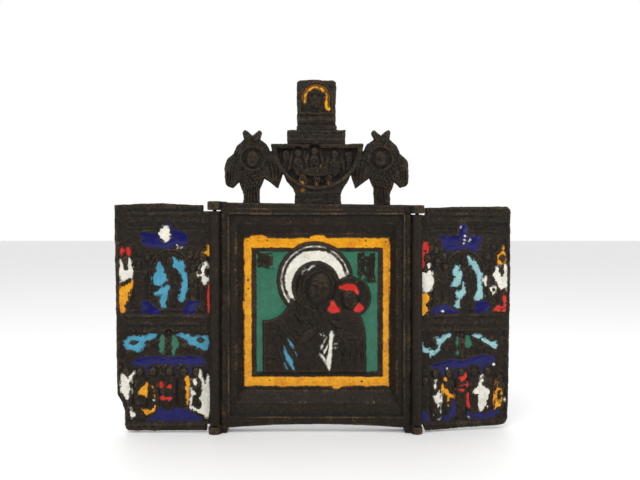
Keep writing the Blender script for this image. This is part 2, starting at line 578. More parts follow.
@functools.lru_cache(maxsize=None)
def picture_relief():
    """Mother and child, half length, with two blocks of false script and an enamelled border."""
    relief = Relief(-19.6, 19.6, 10.0, 51.2, -FLOOR_DROP)
    x, z = relief.x, relief.z
    ground = -FLOOR_DROP
    wobble = 0.1 * hills(x, z, 3.0, 31)
    inner = slab(x, z, -16.9, 17.25, 13.8, 47.4) + wobble
    field = slab(x, z, -15.7, 15.95, 15.2, 46.5) + 0.06 * hills(x, z, 1.1, 32)
    relief.add(np.maximum(inner, -field), 0.12, 0.1)
    # A row of small teeth along the band inside the border
    for side in range(4):
        for k in range(58):
            a = -16.2 + k * 0.57
            b = 14.4 + k * 0.57
            if side < 2 and a < 16.6:
                level = 14.35 if side == 0 else 46.95
                relief.stroke([(a, level - 0.45), (a + 0.18, level + 0.45)], 0.22, 0.16, taper=False)
            if side >= 2 and b < 47.0:
                edge = -16.25 if side == 2 else 16.55
                relief.stroke([(edge - 0.5, b - 0.15), (edge + 0.5, b + 0.15)], 0.22, 0.16, taper=False)
    relief.add(slab(x, z, -19.3, 19.3, 10.3, 50.9), -0.05)
    relief.circle(*MOTHER_HALO, 9.45, 0.62, 0.42)
    cloak = cloak_region(x, z)
    relief.level(np.maximum(cloak, -(z - 15.0)), ground + 0.62, 0.22)
    relief.level(oval(x, z, -0.15, 37.4, 6.3, 6.5), ground + 0.95, 0.35)
    relief.mound(-0.15, 37.4, 6.3, 6.7, ground + 0.2, 1.25, flat=1.0)
    relief.mound(-1.2, 30.6, 6.0, 4.2, ground, 0.95, turn=-8)
    relief.level(disc(x, z, *CHILD_HALO, 5.3), ground + 0.3, 0.12)
    relief.circle(*CHILD_HALO, 5.05, 0.5, 0.34)
    # Cloth: folds falling off the shoulders and crossing the breast, then the graver's fine hatching
    random = np.random.default_rng(52)
    for k in range(8):
        start = (-12.6 + k * 1.05, 27.9 + min(k, 4) * 0.3)
        middle = (-10.6 + k * 1.2 + random.uniform(-0.3, 0.3), 21.5)
        relief.stroke([start, middle, (-9.4 + k * 1.15, 15.4)], random.uniform(0.3, 0.6), random.uniform(-0.14, 0.16))
    for k in range(6):
        relief.stroke([(-6.6 + k * 0.9, 33.2 - k * 0.5), (-3.6 + k * 0.9, 26.0), (3.0 + k * 0.2, 17.4 + k * 0.5)],
                      random.uniform(0.3, 0.55), random.uniform(-0.16, 0.18))
    hatching(relief, cloak_region, (-13.8, 2.6, 15.2, 33.0), 150, (-62, -48), (1.6, 3.6), 53)
    hatching(relief, cloak_region, (-13.8, -9.0, 17.0, 28.6), 34, (-14, 10), (1.2, 2.4), 54)
    hatching(relief, cloak_region, (-6.0, 3.4, 24.0, 33.0), 50, (-80, -60), (1.5, 3.0), 55)
    relief.mound(-2.6, 24.4, 3.4, 1.25, ground + 0.5, 0.55, turn=38)
    for k in range(4):
        relief.stroke([(-1.0 + k * 0.45, 26.6 - k * 0.4), (0.9 + k * 0.3, 27.9 - k * 0.45)], 0.26, 0.14)
    # The child: a small robed body with upright folds and a raised hand
    relief.mound(8.6, 25.4, 3.9, 6.6, ground + 0.35, 0.75, flat=1.1)
    for k in range(7):
        a = 5.4 + k * 1.1
        relief.stroke([(a, 24.4 - abs(k - 4) * 0.4), (a + random.uniform(-0.3, 0.3), 20.0), (a - 0.1, 15.3)],
                      0.35, random.uniform(-0.15, 0.18))
    hatching(relief, cloak_region, (5.0, 12.6, 15.4, 23.5), 70, (80, 100), (1.4, 3.2), 56)
    hatching(relief, cloak_region, (4.6, 11.4, 22.5, 29.8), 34, (-6, 8), (1.6, 3.4), 57)
    relief.mound(5.4, 27.6, 1.9, 0.8, ground + 0.7, 0.5, turn=-30)
    calm_face(relief, 8.75, 33.9, 2.25, 2.75, ground + 0.25, 1.1, 8)
    relief.stroke([(6.5, 34.2), (7.2, 36.4), (8.8, 37.0), (10.4, 36.2), (11.0, 34.0)], 0.5, 0.22)
    # Veil of the mother: a hood whose folds follow the brow, and the face it frames
    for k in range(5):
        r = 0.55 + 0.1 * k
        relief.stroke([
            (0.6 - 5.6 * r - 0.4, 36.4 - 2.0 * r), (0.4 - 5.2 * r, 39.6), (0.2, 40.2 + 3.2 * r * 1.05),
            (0.6 + 5.3 * r, 39.2), (1.0 + 5.3 * r, 36.0)], 0.3, 0.14 if k % 2 else -0.14)
    relief.level(oval(x, z, 0.7, 36.7, 3.7, 4.7, -12), ground + 1.1, 0.4)
    relief.stroke([(-2.6, 33.2), (-3.4, 37.0), (-1.6, 40.9), (1.3, 41.8), (3.9, 39.6), (4.5, 36.2), (3.2, 33.0)],
                  0.45, 0.14)
    calm_face(relief, 0.75, 36.7, 3.2, 4.3, ground + 0.75, 1.3, -12)
    hatching(relief, lambda u, v: oval(u, v, -0.15, 37.4, 6.1, 6.4), (-5.6, -2.4, 33.4, 41.0), 36, (48, 78),
             (1.4, 3.0), 58)
    hatching(relief, lambda u, v: oval(u, v, -0.15, 37.4, 6.1, 6.4), (-3.0, 5.0, 40.9, 43.4), 34, (8, 40),
             (1.2, 2.6), 59)
    relief.stroke([(-3.2, 32.6), (-0.4, 31.0), (2.8, 31.2)], 0.4, 0.24)
    for k in range(7):
        relief.stroke([(-6.0 + k * 0.5, 35.0 - k * 0.7), (-5.2 + k * 0.7, 32.0 - k * 0.8), (-5.6 + k, 29.0 - k * 0.9)],
                      0.24, -0.13)
    # Inscriptions at the top corners, as worn strokes
    for x0, x1, z0, z1, seed in ((-15.4, -11.4, 42.2, 46.2, 41), (10.6, 15.3, 38.5, 46.2, 42)):
        block = slab(x, z, x0, x1, z0, z1) + 0.35 * hills(x, z, 1.1, seed)
        relief.add(block, 0.12, 0.2)
        false_script(relief, x0 + 0.3, x1 - 0.2, z0, z1, 0.2, seed)
        block_region = block
        relief.enamels.setdefault("keep_out", block_region)
        relief.enamels["keep_out"] = np.minimum(relief.enamels["keep_out"], block_region)
    blocks = relief.enamels.pop("keep_out")
    relief.sand(bpy.context.scene.triptych_casting.grain * 1.0, 50)

    # Beds for the enamel
    border = np.maximum(slab(x, z, -18.85, 18.85, 11.3, 50.0), -slab(x, z, -16.8, 17.2, 13.9, 47.3))
    border = border + 0.1 * hills(x, z, 2.2, 33)
    border = np.maximum(border, -(disc(x, z, *MOTHER_HALO, 10.1)))
    for over in (
        [(18.6, 47.6), (19.15, 47.9), (19.2, 42), (19.1, 36), (18.7, 34)],
        [(-17.3, 49.8), (-16.8, 50.6), (-14.0, 50.7), (-12.9, 49.8)],
        [(-1.7, 49.8), (-1.0, 50.6), (1.6, 50.6), (2.4, 49.8)],
        [(-18.7, 33.6), (-19.15, 33.2), (-19.1, 31.6), (-18.7, 31.2)],
        [(3.8, 11.5), (4.4, 10.7), (5.8, 10.7), (6.6, 11.5)],
    ):
        border = np.minimum(border, blob(x, z, over))
    relief.enamel("yellow", border)
    away = [-disc(x, z, *MOTHER_HALO, 10.0), -disc(x, z, *CHILD_HALO, 5.6), 0.25 - cloak, -blocks]
    green = np.maximum.reduce([slab(x, z, -15.6, 15.85, 15.3, 46.4), *away])
    glimpses = np.maximum.reduce([blocks, slab(x, z, -15.4, 15.3, 38.5, 46.2), 0.32 - hills(x, z, 0.8, 44)])
    relief.enamel("green", np.minimum(green, glimpses))
    veil = oval(x, z, -0.15, 37.3, 6.35, 6.75)
    band = np.maximum.reduce([
        disc(x, z, *MOTHER_HALO, 7.85), -veil, 33.4 - z + 0.25 * (x + 8), -disc(x, z, *CHILD_HALO, 5.6)])
    line = np.abs(disc(x, z, *MOTHER_HALO, 8.75)) - 0.12 + 0.08 * hills(x, z, 2.4, 45)
    line = np.maximum.reduce([line, 33.2 - z, -disc(x, z, *CHILD_HALO, 6.2)])
    relief.enamel("white", np.minimum(band, line))
    for points, width in (
        ([(-4.6, 40.6), (-2.6, 42.6)], 0.2), ([(-3.6, 40.4), (-1.0, 42.7), (0.6, 43.2)], 0.16),
        ([(0.9, 25.1), (2.1, 24.4)], 0.22), ([(2.6, 24.2), (1.6, 22.3), (0.8, 20.5)], 0.24),
        ([(3.2, 22.8), (2.4, 21.0), (1.7, 19.5)], 0.3), ([(0.9, 20.1), (2.0, 18.4), (3.2, 15.5)], 0.3),
        ([(4.4, 21.5), (5.5, 21.5)], 0.16), ([(4.2, 22.4), (5.2, 22.5)], 0.12),
    ):
        relief.enamel("white", streak(x, z, points, width))
    relief.enamel("white", blob(x, z, [
        (3.7, 25.8), (4.5, 24.8), (4.25, 23.2), (4.1, 19.7), (3.6, 15.5), (3.0, 15.5), (2.5, 17.7), (3.1, 21.0), (3.2, 24.0)]))
    relief.enamel("red", blob(x, z, [
        (5.7, 36.9), (6.9, 37.7), (8.5, 38.1), (10.2, 37.5), (10.9, 36.2), (10.5, 35.2), (9.3, 36.0), (7.4, 36.4)]))
    relief.enamel("red", blob(x, z, [(3.1, 32.2), (4.0, 33.7), (5.4, 32.3), (6.1, 30.9), (4.3, 30.4), (3.2, 30.8)]))
    relief.enamel("red", blob(x, z, [(9.7, 31.0), (10.4, 32.9), (11.9, 32.5), (12.6, 31.4), (11.8, 30.8), (10.6, 30.6)]))
    relief.enamel("light_blue", blob(x, z, [
        (-8.5, 22.0), (-7.4, 19.8), (-6.5, 18.7), (-6.0, 16.8), (-5.3, 15.3), (-5.9, 15.3), (-6.9, 16.9), (-7.9, 18.5)]))
    relief.enamel("light_blue", streak(x, z, [(-7.5, 23.7), (-6.2, 21.8), (-5.1, 19.2)], 0.26))
    relief.enamel("light_blue", streak(x, z, [(-8.4, 17.7), (-7.5, 15.6)], 0.2))
    relief.settle_enamel(0.34, 60, 0.55)
    return relief


# ---- Crest ----

def seraph_outline(x, inner):
    stretches = (
        [(-2.7, 57.6), (-2.5, 61.0), (-3.6, 64.3)],
        [(-5.2, 62.8), (-6.9, 63.6), (-7.3, 66.5), (-6.9, 69.6), (-5.0, 71.6)],
        [(-4.2, 73.6), (-2.3, 75.3)],
        [(-2.7, 76.9), (-1.9, 77.7), (-0.1, 76.3)],
        [(1.6, 77.7), (2.3, 77.0), (1.7, 75.3)],
        [(3.5, 74.0), (4.4, 72.3)],
        [(8.0, 72.0)],
        [(7.6, 66.0), (6.4, 62.7)],
        [(4.6, 64.0), (2.8, 65.3)],
        [(1.7, 62.4), (1.7, 57.6)],
    )
    points = []
    for stretch in stretches:
        turned = [(x + inner * d, z) for d, z in stretch]
        points.extend(curve(turned, closed=False, steps=4) if len(turned) > 2 else turned)
    return points


def bowl_region(x, z):
    return np.maximum(disc(x, z, BOWL_X, BOWL_Z, BOWL_R), z - BOWL_Z)


def crest_outline(x, z):
    foot = [(-5.6, 57.6), (6.4, 57.6), *curve([(6.3, 61.2), (6.9, 62.7), (8.1, 64.4), (8.9, 66.4)], False, 4),
            *curve([(-8.5, 66.4), (-7.5, 64.4), (-6.2, 62.7), (-5.5, 61.2)], False, 4)]
    tile = [(-4.9, 78.0), (4.9, 78.0), (5.0, 88), (4.9, 89.8), (4.2, 90.2), (0, 90.45), (-4.2, 90.2), (-4.9, 89.8), (-5.1, 88)]
    shapes = [bowl_region(x, z), polygon(x, z, foot), polygon(x, z, tile)]
    shapes += [slab(x, z, -7.5, 7.4, 73.9, 77.6), slab(x, z, -5.1, 5.2, 77.3, 78.6)]
    shapes += [polygon(x, z, seraph_outline(*side)) for side in SERAPHS]
    joined = np.minimum.reduce(shapes)
    return joined + 0.1 * hills(x, z, 1.5, 71) + 0.06 * hills(x, z, 0.5, 72)


def seraph_relief(relief, sx, inner):
    """A face in a ring of feathers, wings crossed above and let down at both sides."""
    x, z = relief.x, relief.z
    ground = CREST_FACE
    shape = polygon(x, z, seraph_outline(sx, inner))
    body = np.maximum(shape, z - 73.5)
    scales(relief, np.maximum(body, 62.0 - z), 12 * inner, 1.05, 0.34)

    def at(d, height):
        return sx + inner * d, height

    relief.mound(*at(-5.2, 67.0), 2.1, 4.6, ground - 0.1, 0.42, turn=inner * 14)
    relief.mound(*at(4.9, 67.6), 2.4, 4.8, ground - 0.1, 0.42, turn=-inner * 16)
    for k in range(6):
        relief.stroke([at(-3.7 - 0.5 * k, 71.4 - 0.9 * k), at(-4.9 - 0.35 * k, 67.6), at(-5.2 - 0.3 * k, 64.2 - 0.1 * k)],
                      0.34, 0.26 if k % 2 else -0.2)
        relief.stroke([at(3.3 + 0.6 * k, 71.6 - 0.7 * k), at(4.4 + 0.5 * k, 67.8), at(4.9 + 0.4 * k, 64.4)],
                      0.34, 0.26 if k % 2 else -0.2)
    for k in range(9):
        tilt = (k - 4) * 0.38
        relief.stroke([at(tilt * 0.6, 63.8), at(tilt, 61.0), at(tilt * 1.1, 58.4)], 0.3, 0.2 if k % 2 else -0.2)
    # Hood of feathers round the face, and the two crossed tips above it
    relief.mound(sx, 71.0, 4.3, 4.6, ground - 0.2, 0.75, flat=1.1)
    scales(relief, disc(x, z, sx, 71.0, 4.4), 0, 0.9, 0.26)
    for side, lift in ((-1, 0.0), (1, 0.12)):
        relief.mound(*at(side * 1.15, 75.9), 0.85, 2.1, ground, 0.42 + lift, turn=-side * inner * 38, flat=1.3)
        relief.stroke([at(-side * 0.5, 74.3), at(side * 1.9, 77.2)], 0.3, -0.2)
    relief.level(disc(x, z, sx, 70.2, 3.0), ground + 0.22, 0.2)
    for r, rise in ((2.95, 0.34), (2.35, -0.12)):
        relief.circle(sx, 70.2, r, 0.42, rise)
    for k in range(14):
        a = math.radians(k * 360 / 14)
        relief.press(sx + 2.95 * math.cos(a), 70.2 + 2.95 * math.sin(a), 0.3, 0.3, -0.18)
    calm_face(relief, sx, 70.1, 1.7, 2.05, ground + 0.15, 0.78)
    for k in range(5):
        a = (k - 2) * 0.55
        relief.stroke([(sx + a, 71.6 - abs(a) * 0.4), (sx + a * 1.3, 72.5 - abs(a) * 0.5)], 0.3, 0.16)


def seated_angel(relief, x, z, base, reach):
    """A small winged figure seated at a table, its ring of light behind the head."""
    halo(relief, x, z, 1.75, base + 0.12, 0.22)
    for side in (-1, 1):
        relief.mound(x + side * 2.1, z - 2.6, 0.75, 2.6, base, 0.55, turn=side * 14)
        for k in range(3):
            relief.stroke([(x + side * (1.5 + 0.4 * k), z - 0.9 - 0.3 * k), (x + side * (1.9 + 0.35 * k), z - 4.6)],
                          0.24, 0.2)
    relief.mound(x, z - 3.2, 1.65, 2.7, base, 0.85, flat=1.15)
    for k in range(-2, 3):
        relief.stroke([(x + k * 0.3, z - 1.7), (x + k * 0.62, z - 5.2)], 0.24, -0.2)
    relief.stroke([(x - 1.3, z - 1.8), (x + reach * 0.4, z - 3.4), (x + reach, z - 4.6)], 0.5, 0.3)
    relief.stroke([(x + 1.2, z - 1.8), (x + 0.7 * reach, z - 4.2)], 0.45, 0.22)
    calm_face(relief, x, z - 0.05, 0.98, 1.2, base + 0.1, 0.8)
    relief.stroke([(x - 1.0, z - 0.1), (x - 0.6, z + 1.1), (x + 0.6, z + 1.1), (x + 1.0, z - 0.1)], 0.36, 0.25)


@functools.lru_cache(maxsize=None)
def crest_relief():
    relief = Relief(-24.6, 24.6, 57.2, 91.0, CREST_FACE)
    x, z = relief.x, relief.z
    for side in SERAPHS:
        seraph_relief(relief, *side)
    # Bowl with a deep scene inside a double rim
    bowl = bowl_region(x, z)
    relief.level(bowl, -0.6, 0.15)
    inside = np.maximum(disc(x, z, BOWL_X, BOWL_Z - 0.4, BOWL_R - 1.5), z - BOWL_Z + 0.9)
    relief.level(inside, -1.75, 0.3)
    relief.circle(BOWL_X, BOWL_Z, BOWL_R - 0.35, 0.4, 0.22)
    relief.level(slab(x, z, -12.0, 12.3, 73.5, 74.2), -0.45, 0.12)
    relief.level(slab(x, z, -10.6, 10.8, 72.9, 73.3), -0.7, 0.12)
    foot = polygon(x, z, [(-5.6, 57.6), (6.4, 57.6), (6.3, 62.2), (-5.4, 62.2)])
    relief.level(foot, -0.85, 0.12)
    relief.stroke([(-5.4, 61.7), (0.4, 61.3), (6.2, 61.7)], 0.5, 0.3, taper=False)
    relief.stroke([(-5.6, 60.4), (0.4, 60.1), (6.3, 60.4)], 0.3, -0.16, taper=False)
    base = -1.75
    seated_angel(relief, -4.7, 71.6, base, 1.6)
    seated_angel(relief, 4.7, 71.4, base, -1.6)
    seated_angel(relief, -0.5, 72.2, base, 0.9)
    for cx, cz, r in ((-7.9, 71.0, 1.1), (8.3, 70.6, 1.1), (-8.1, 68.6, 0.9), (8.2, 68.2, 0.9)):
        relief.mound(cx, cz, r, r * 1.6, base, 0.6)
        relief.stroke([(cx, cz + r), (cx + 0.3, cz - r)], 0.3, -0.18)
    relief.mound(0.15, 66.9, 4.5, 1.3, base, 0.95, flat=1.5)
    relief.circle(0.15, 66.9, 4.0, 0.3, 0.16, squash=0.28)
    for cx, cz in ((-2.3, 67.4), (1.7, 68.1), (0.2, 67.0)):
        relief.mound(cx, cz, 0.6, 0.75, base + 0.6, 0.75)
        relief.press(cx, cz + 0.2, 0.3, 0.22, -0.3)
    for cx in (-3.5, 0.0, 3.1):
        relief.mound(cx, 64.0, 0.95, 1.9, base, 0.95, flat=1.1)
        relief.stroke([(cx, 65.4), (cx, 62.5)], 0.3, -0.2)
        calm_face(relief, cx, 65.0, 0.6, 0.75, base + 0.3, 0.7)
    # Plinth, neck and tile
    relief.level(slab(x, z, -7.5, 7.4, 74.0, 77.6), -0.5, 0.12)
    relief.stroke([(-7.3, 75.1), (7.2, 75.1)], 0.55, 0.28, taper=False)
    relief.stroke([(-7.3, 76.7), (7.2, 76.7)], 0.4, -0.2, taper=False)
    relief.level(slab(x, z, -5.1, 5.2, 77.5, 78.6), -0.72, 0.1)
    relief.level(slab(x, z, -5.3, 5.3, 78.4, 90.6), -0.62, 0.1)
    relief.stroke([(-4.9, 79.0), (5.0, 79.0)], 0.5, -0.32, taper=False)
    relief.stroke([(-4.9, 80.1), (5.0, 80.1)], 0.55, 0.26, taper=False)
    relief.stroke([(-4.7, 81.2), (4.8, 81.2)], 0.35, -0.2, taper=False)
    niche = np.minimum(disc(x, z, -0.1, 85.6, 3.7), slab(x, z, -3.8, 3.6, 82.2, 85.6))
    relief.level(niche, -0.95, 0.2)
    relief.h += 0.22 * np.exp(-(((niche - 0.25) / 0.25) ** 2))
    for k in range(3):
        relief.stroke([(-4.6, 88.6 + 0.5 * k), (0, 89.4 + 0.35 * k), (4.6, 88.6 + 0.5 * k)], 0.25, 0.1)
    calm_face(relief, -0.15, 84.8, 1.45, 1.95, -1.0, 0.62)
    for side in (-1, 1):
        relief.stroke([(-0.15 + side * 0.9, 86.4), (-0.15 + side * 1.7, 84.9), (-0.15 + side * 1.5, 83.0)], 0.45, 0.22)
    relief.wear(0.95, -0.9, 0.17, 84)
    relief.sand(bpy.context.scene.triptych_casting.grain * 1.6, 80)
    crown_edge(relief, crest_outline(x, z), 0.6)
    arch = np.abs(disc(x, z, -0.15, 85.7, 2.75)) - 0.2
    arch = np.maximum(arch, 85.5 - z)
    relief.enamel("yellow", arch)
    relief.enamel("yellow", streak(x, z, [(-2.9, 86.2), (-2.95, 84.4)], 0.25))
    relief.enamel("yellow", streak(x, z, [(2.55, 86.4), (2.5, 84.6), (2.6, 82.8)], 0.32))
    relief.enamel("yellow", streak(x, z, [(2.4, 83.2), (3.6, 82.9)], 0.25))
    relief.enamel("amber", disc(x, z, 1.7, 68.2, 0.55))
    relief.enamel("amber", oval(x, z, -3.5, 64.3, 0.55, 1.2))
    relief.enamel("amber", oval(x, z, 0.1, 64.6, 0.35, 0.7))
    relief.enamel("amber", oval(x, z, 3.1, 64.8, 0.45, 0.8))
    relief.enamel("amber", disc(x, z, -3.6, 61.9, 0.5))
    outer = np.maximum(np.abs(disc(x, z, -0.15, 85.7, 3.3)) - 0.3, 85.0 - z)
    relief.enamel("amber", outer)
    relief.settle_enamel(0.22, 90, 0.7)
    return relief


# ---- Wings ----

def wing_outline(points, seed):
    def outline(x, z):
        return polygon(x, z, points) + 0.07 * hills(x, z, 2.0, seed) + 0.04 * hills(x, z, 0.6, seed + 1)
    return outline


OUTLINES = {"left": wing_outline(LEFT_OUTLINE, 101), "right": wing_outline(RIGHT_OUTLINE, 111)}


def arch_and_figure(relief, middle, top, base):
    """A standing figure in a round-headed niche of two mouldings."""
    x, z = relief.x, relief.z
    centre = top - 5.3
    for r, width, rise in ((5.3, 0.4, 0.3), (4.5, 0.3, 0.2)):
        ring = np.abs(disc(x, z, middle, centre, r)) - width / 2
        ring = np.where(z < centre, np.abs(np.abs(x - middle) - r) - width / 2, ring)
        relief.add(np.maximum(ring, 33.6 - z), rise, 0.15)
    saint(relief, middle, 33.0, 12.2, base, half=1.9, head=1.25)


def wing_base(outline, seed):
    relief = Relief(0.0, 26.4, 0.0, 59.4, WING_FACE)
    x, z = relief.x, relief.z
    wobble = 0.08 * hills(x, z, 3.0, seed)
    for panel in (UPPER_PANEL, LOWER_PANEL):
        region = slab(x, z, *panel) + wobble
        relief.level(region, PANEL_FLOOR, 0.75)
    for level, rise in ((54.3, 0.16), (55.3, -0.2), (56.1, 0.18), (57.0, -0.16), (57.8, 0.12),
                        (26.3, 0.14), (27.3, -0.22), (28.2, 0.18), (29.2, -0.2), (30.0, 0.12), (2.0, 0.12)):
        sag = 0.25 * math.sin(level)
        relief.stroke([(2.4, level + sag * 0.4), (13, level - sag * 0.5), (24.6, level)], 0.4, rise)
    for level in (52.6, 51.6, 31.3):
        relief.stroke([(2.4, level), (13, level + 0.2), (24.0, level - 0.1)], 0.35, 0.22)
    relief.h += 0.05 * hills(x / 7, z * 2.0, 1.0, seed + 1) * ramp(-0.2, 0.3, slab(x, z, *UPPER_PANEL))
    return relief


def eaves(relief, apexes, low, high, base):
    """Two sloping roofs of figures' wings that meet at a post."""
    for x0, x1 in apexes:
        middle = 0.5 * (x0 + x1)
        relief.stroke([(x0, low), (middle, low + 0.55 * (high - low)), (x1, high)], 0.9, 0.36)
        relief.stroke([(x0, low - 0.8), (middle, low - 0.4 + 0.45 * (high - low)), (x1, high - 1.2)], 0.5, 0.24)
        relief.stroke([(x0, low + 0.9), (middle, low + 0.9 + 0.5 * (high - low))], 0.4, -0.18)


@functools.lru_cache(maxsize=None)
def left_relief():
    relief = wing_base(OUTLINES["left"], 120)
    x, z = relief.x, relief.z
    base = PANEL_FLOOR
    arch_and_figure(relief, 11.5, 46.9, base)
    saint(relief, 22.9, 31.8, 13.6, base, half=1.5, turned=-1)
    saint(relief, 19.6, 32.4, 11.4, base, half=1.5, turned=-1, staff=True)
    saint(relief, 3.0, 31.6, 14.6, base, half=1.4, turned=1)
    saint(relief, 5.6, 32.6, 10.6, base, half=1.2, turned=1)
    relief.mound(12.8, 50.6, 2.3, 3.1, base, 0.5)
    for k in range(6):
        a = -1.2 + 0.48 * k
        relief.stroke([(12.8 + a, 49.9), (12.8 + 2.4 * a, 53.0 - 0.5 * abs(a))], 0.26, 0.16)
    for cx, cz, r in ((17.4, 44.9, 0.8), (19.4, 45.9, 0.7), (6.4, 45.6, 0.8), (4.6, 43.2, 0.8), (18.1, 41.0, 0.9)):
        relief.mound(cx, cz, r, r * 1.2, base, 0.5)
    saint(relief, 11.9, 19.6, 6.6, base, half=1.0)
    eaves(relief, ((23.6, 13.6), (1.6, 10.4)), 20.0, 25.0, base)
    for cx, cz in ((17.2, 22.4), (8.0, 22.4), (20.9, 23.2), (3.8, 23.8)):
        relief.mound(cx, cz, 0.95, 0.95, base, 0.6)
        relief.circle(cx, cz, 1.15, 0.28, 0.2)
    relief.stroke([(22.0, 17.9), (12, 18.5), (2.4, 17.9)], 0.6, -0.12)
    for s, height in ((22.9, 13.2), (19.4, 13.3), (16.0, 13.4), (11.7, 13.4), (8.1, 13.2), (5.0, 13.3)):
        saint(relief, s, 3.4, height, base, half=1.55, head=1.15, turned=1 if s < 12 else -1)
    relief.mound(12.2, 10.6, 2.2, 1.0, base + 0.3, 0.4)
    relief.stroke([(10.4, 9.9), (12.2, 9.4), (14.2, 9.9)], 0.5, 0.24)
    relief.wear(0.85, -0.6, 0.13, 134)
    relief.sand(bpy.context.scene.triptych_casting.grain * 1.3, 130)
    crown_edge(relief, OUTLINES["left"](x, z), 0.45)

    for points in (
        [(18.9, 51.4), (14.8, 51.2), (13.3, 53.2), (12.0, 53.6), (10.8, 52.2), (8.1, 51.5), (7.0, 50.4),
         (7.3, 48.5), (10.0, 47.7), (13.1, 47.3), (18.3, 47.9), (18.9, 49.6)],
        [(19.1, 33.4), (17.3, 33.7), (15.5, 32.3), (14.1, 31.2), (14.8, 30.3), (16.4, 30.3), (18.6, 31.0)],
        [(7.3, 33.4), (6.1, 34.1), (3.9, 33.3), (5.3, 32.0), (5.6, 30.8), (8.2, 30.8)],
        [(21.2, 18.4), (18.8, 19.4), (15.4, 19.6), (11.6, 19.4), (8.6, 19.6), (4.6, 19.7), (2.6, 18.7),
         (2.8, 17.6), (4.8, 17.1), (8.6, 17.6), (12.6, 17.4), (15.5, 17.6), (18.1, 17.0), (20.6, 17.4)],
        [(17.9, 17.6), (17.3, 17.6), (17.5, 14.8)],
        [(10.3, 17.4), (9.6, 17.4), (9.9, 15.0)],
        [(7.0, 17.5), (6.3, 17.4), (6.6, 14.6)],
        [(17.6, 3.5), (16.3, 4.1), (14.6, 6.2), (12.6, 5.7), (9.4, 6.5), (6.6, 5.7), (3.6, 4.1), (4.6, 3.2),
         (10.6, 3.2), (16.6, 3.2)],
    ):
        relief.enamel("dark_blue", blob(x, z, points))
    for points in (
        [(12.8, 53.1), (11.7, 52.4), (11.2, 50.9), (11.5, 49.5), (12.7, 48.6), (13.7, 49.5), (14.6, 51.0), (13.9, 52.4)],
        [(24.3, 44.0), (23.8, 43.4), (23.4, 42.0), (22.4, 42.0), (22.4, 44.4), (21.6, 44.5), (21.4, 42.7),
         (20.9, 41.3), (21.9, 39.4), (22.9, 39.2), (24.3, 38.8)],
        [(2.6, 44.0), (1.7, 42.9), (2.5, 42.1), (2.6, 40.7), (1.7, 39.6), (2.0, 38.6), (2.7, 37.8), (3.4, 38.8),
         (3.8, 39.9), (5.0, 40.4), (4.6, 40.9), (3.7, 41.0), (3.6, 42.5)],
        [(23.7, 15.2), (23.1, 15.4), (22.5, 14.1), (21.7, 14.8), (20.9, 15.7), (21.5, 14.1), (21.6, 12.3),
         (21.5, 10.5), (22.1, 9.4), (21.6, 5.4), (20.5, 4.9), (20.7, 4.2), (22.0, 4.1), (22.3, 7.4), (23.1, 8.8),
         (24.2, 10.5), (24.5, 13.0)],
        [(6.4, 11.6), (5.4, 11.2), (4.9, 10.2), (5.6, 9.0), (6.0, 7.6), (6.6, 6.9), (6.3, 9.4)],
        [(5.9, 13.7), (4.7, 13.9), (4.8, 12.6), (5.4, 12.3)],
        [(4.6, 14.9), (3.8, 16.0), (3.2, 13.9), (2.6, 12.4), (1.8, 14.9), (1.4, 12.5), (1.4, 4.9), (3.0, 4.2),
         (6.4, 6.3), (6.2, 7.1), (3.9, 6.4), (3.6, 7.9), (4.5, 8.9), (3.5, 10.5), (3.6, 13.5)],
    ):
        relief.enamel("white", blob(x, z, points))
    for cx, cz, r in ((9.7, 48.0, 0.42), (8.8, 47.8, 0.3), (15.1, 13.1, 0.2), (15.8, 8.4, 0.25)):
        relief.enamel("white", disc(x, z, cx, cz, r))
    relief.enamel("white", streak(x, z, [(0.95, 14.0), (0.9, 10.5), (0.95, 6.0)], 0.42))
    for points, width in (
        ([(23.9, 47.6), (23.8, 45.4)], 0.5), ([(22.3, 47.8), (22.2, 45.4)], 0.62), ([(1.6, 38.9), (1.6, 31.0)], 0.42),
        ([(14.2, 13.0), (13.7, 11.6)], 0.45), ([(12.2, 12.2), (11.3, 11.5)], 0.62),
        ([(14.1, 8.9), (11.1, 8.8)], 0.52),
    ):
        relief.enamel("red", streak(x, z, points, width))
    relief.enamel("red", disc(x, z, 11.9, 8.5, 0.6))
    for points in (
        [(24.3, 38.3), (23.6, 37.8), (22.1, 38.4), (20.7, 39.0), (20.9, 37.6), (21.9, 36.2), (22.3, 33.7),
         (22.9, 32.5), (22.7, 31.7), (24.0, 31.0), (24.4, 32.4), (24.5, 35.3)],
        [(1.7, 48.3), (1.2, 47.0), (1.4, 45.5), (2.2, 45.7), (3.0, 45.1), (3.2, 46.2), (2.2, 46.8)],
        [(19.9, 10.2), (19.3, 11.6), (18.1, 12.5), (17.1, 12.7), (17.3, 11.6), (17.7, 10.4), (17.5, 9.3), (18.7, 9.4)],
        [(18.9, 6.2), (18.1, 5.7), (16.7, 6.0), (15.5, 7.0), (15.1, 6.6), (15.7, 5.4), (17.1, 4.8), (18.3, 5.0)],
        [(7.9, 14.1), (6.8, 14.3), (6.9, 13.5), (6.4, 11.5), (6.6, 9.4), (6.8, 7.4), (7.2, 6.4), (7.6, 7.8),
         (7.6, 11.0), (8.1, 11.6), (8.8, 11.0), (8.6, 11.8), (7.8, 12.5)],
    ):
        relief.enamel("yellow", blob(x, z, points))
    relief.enamel("yellow", streak(x, z, [(17.0, 12.7), (15.9, 11.5), (15.5, 9.5), (15.8, 8.0)], 0.24))
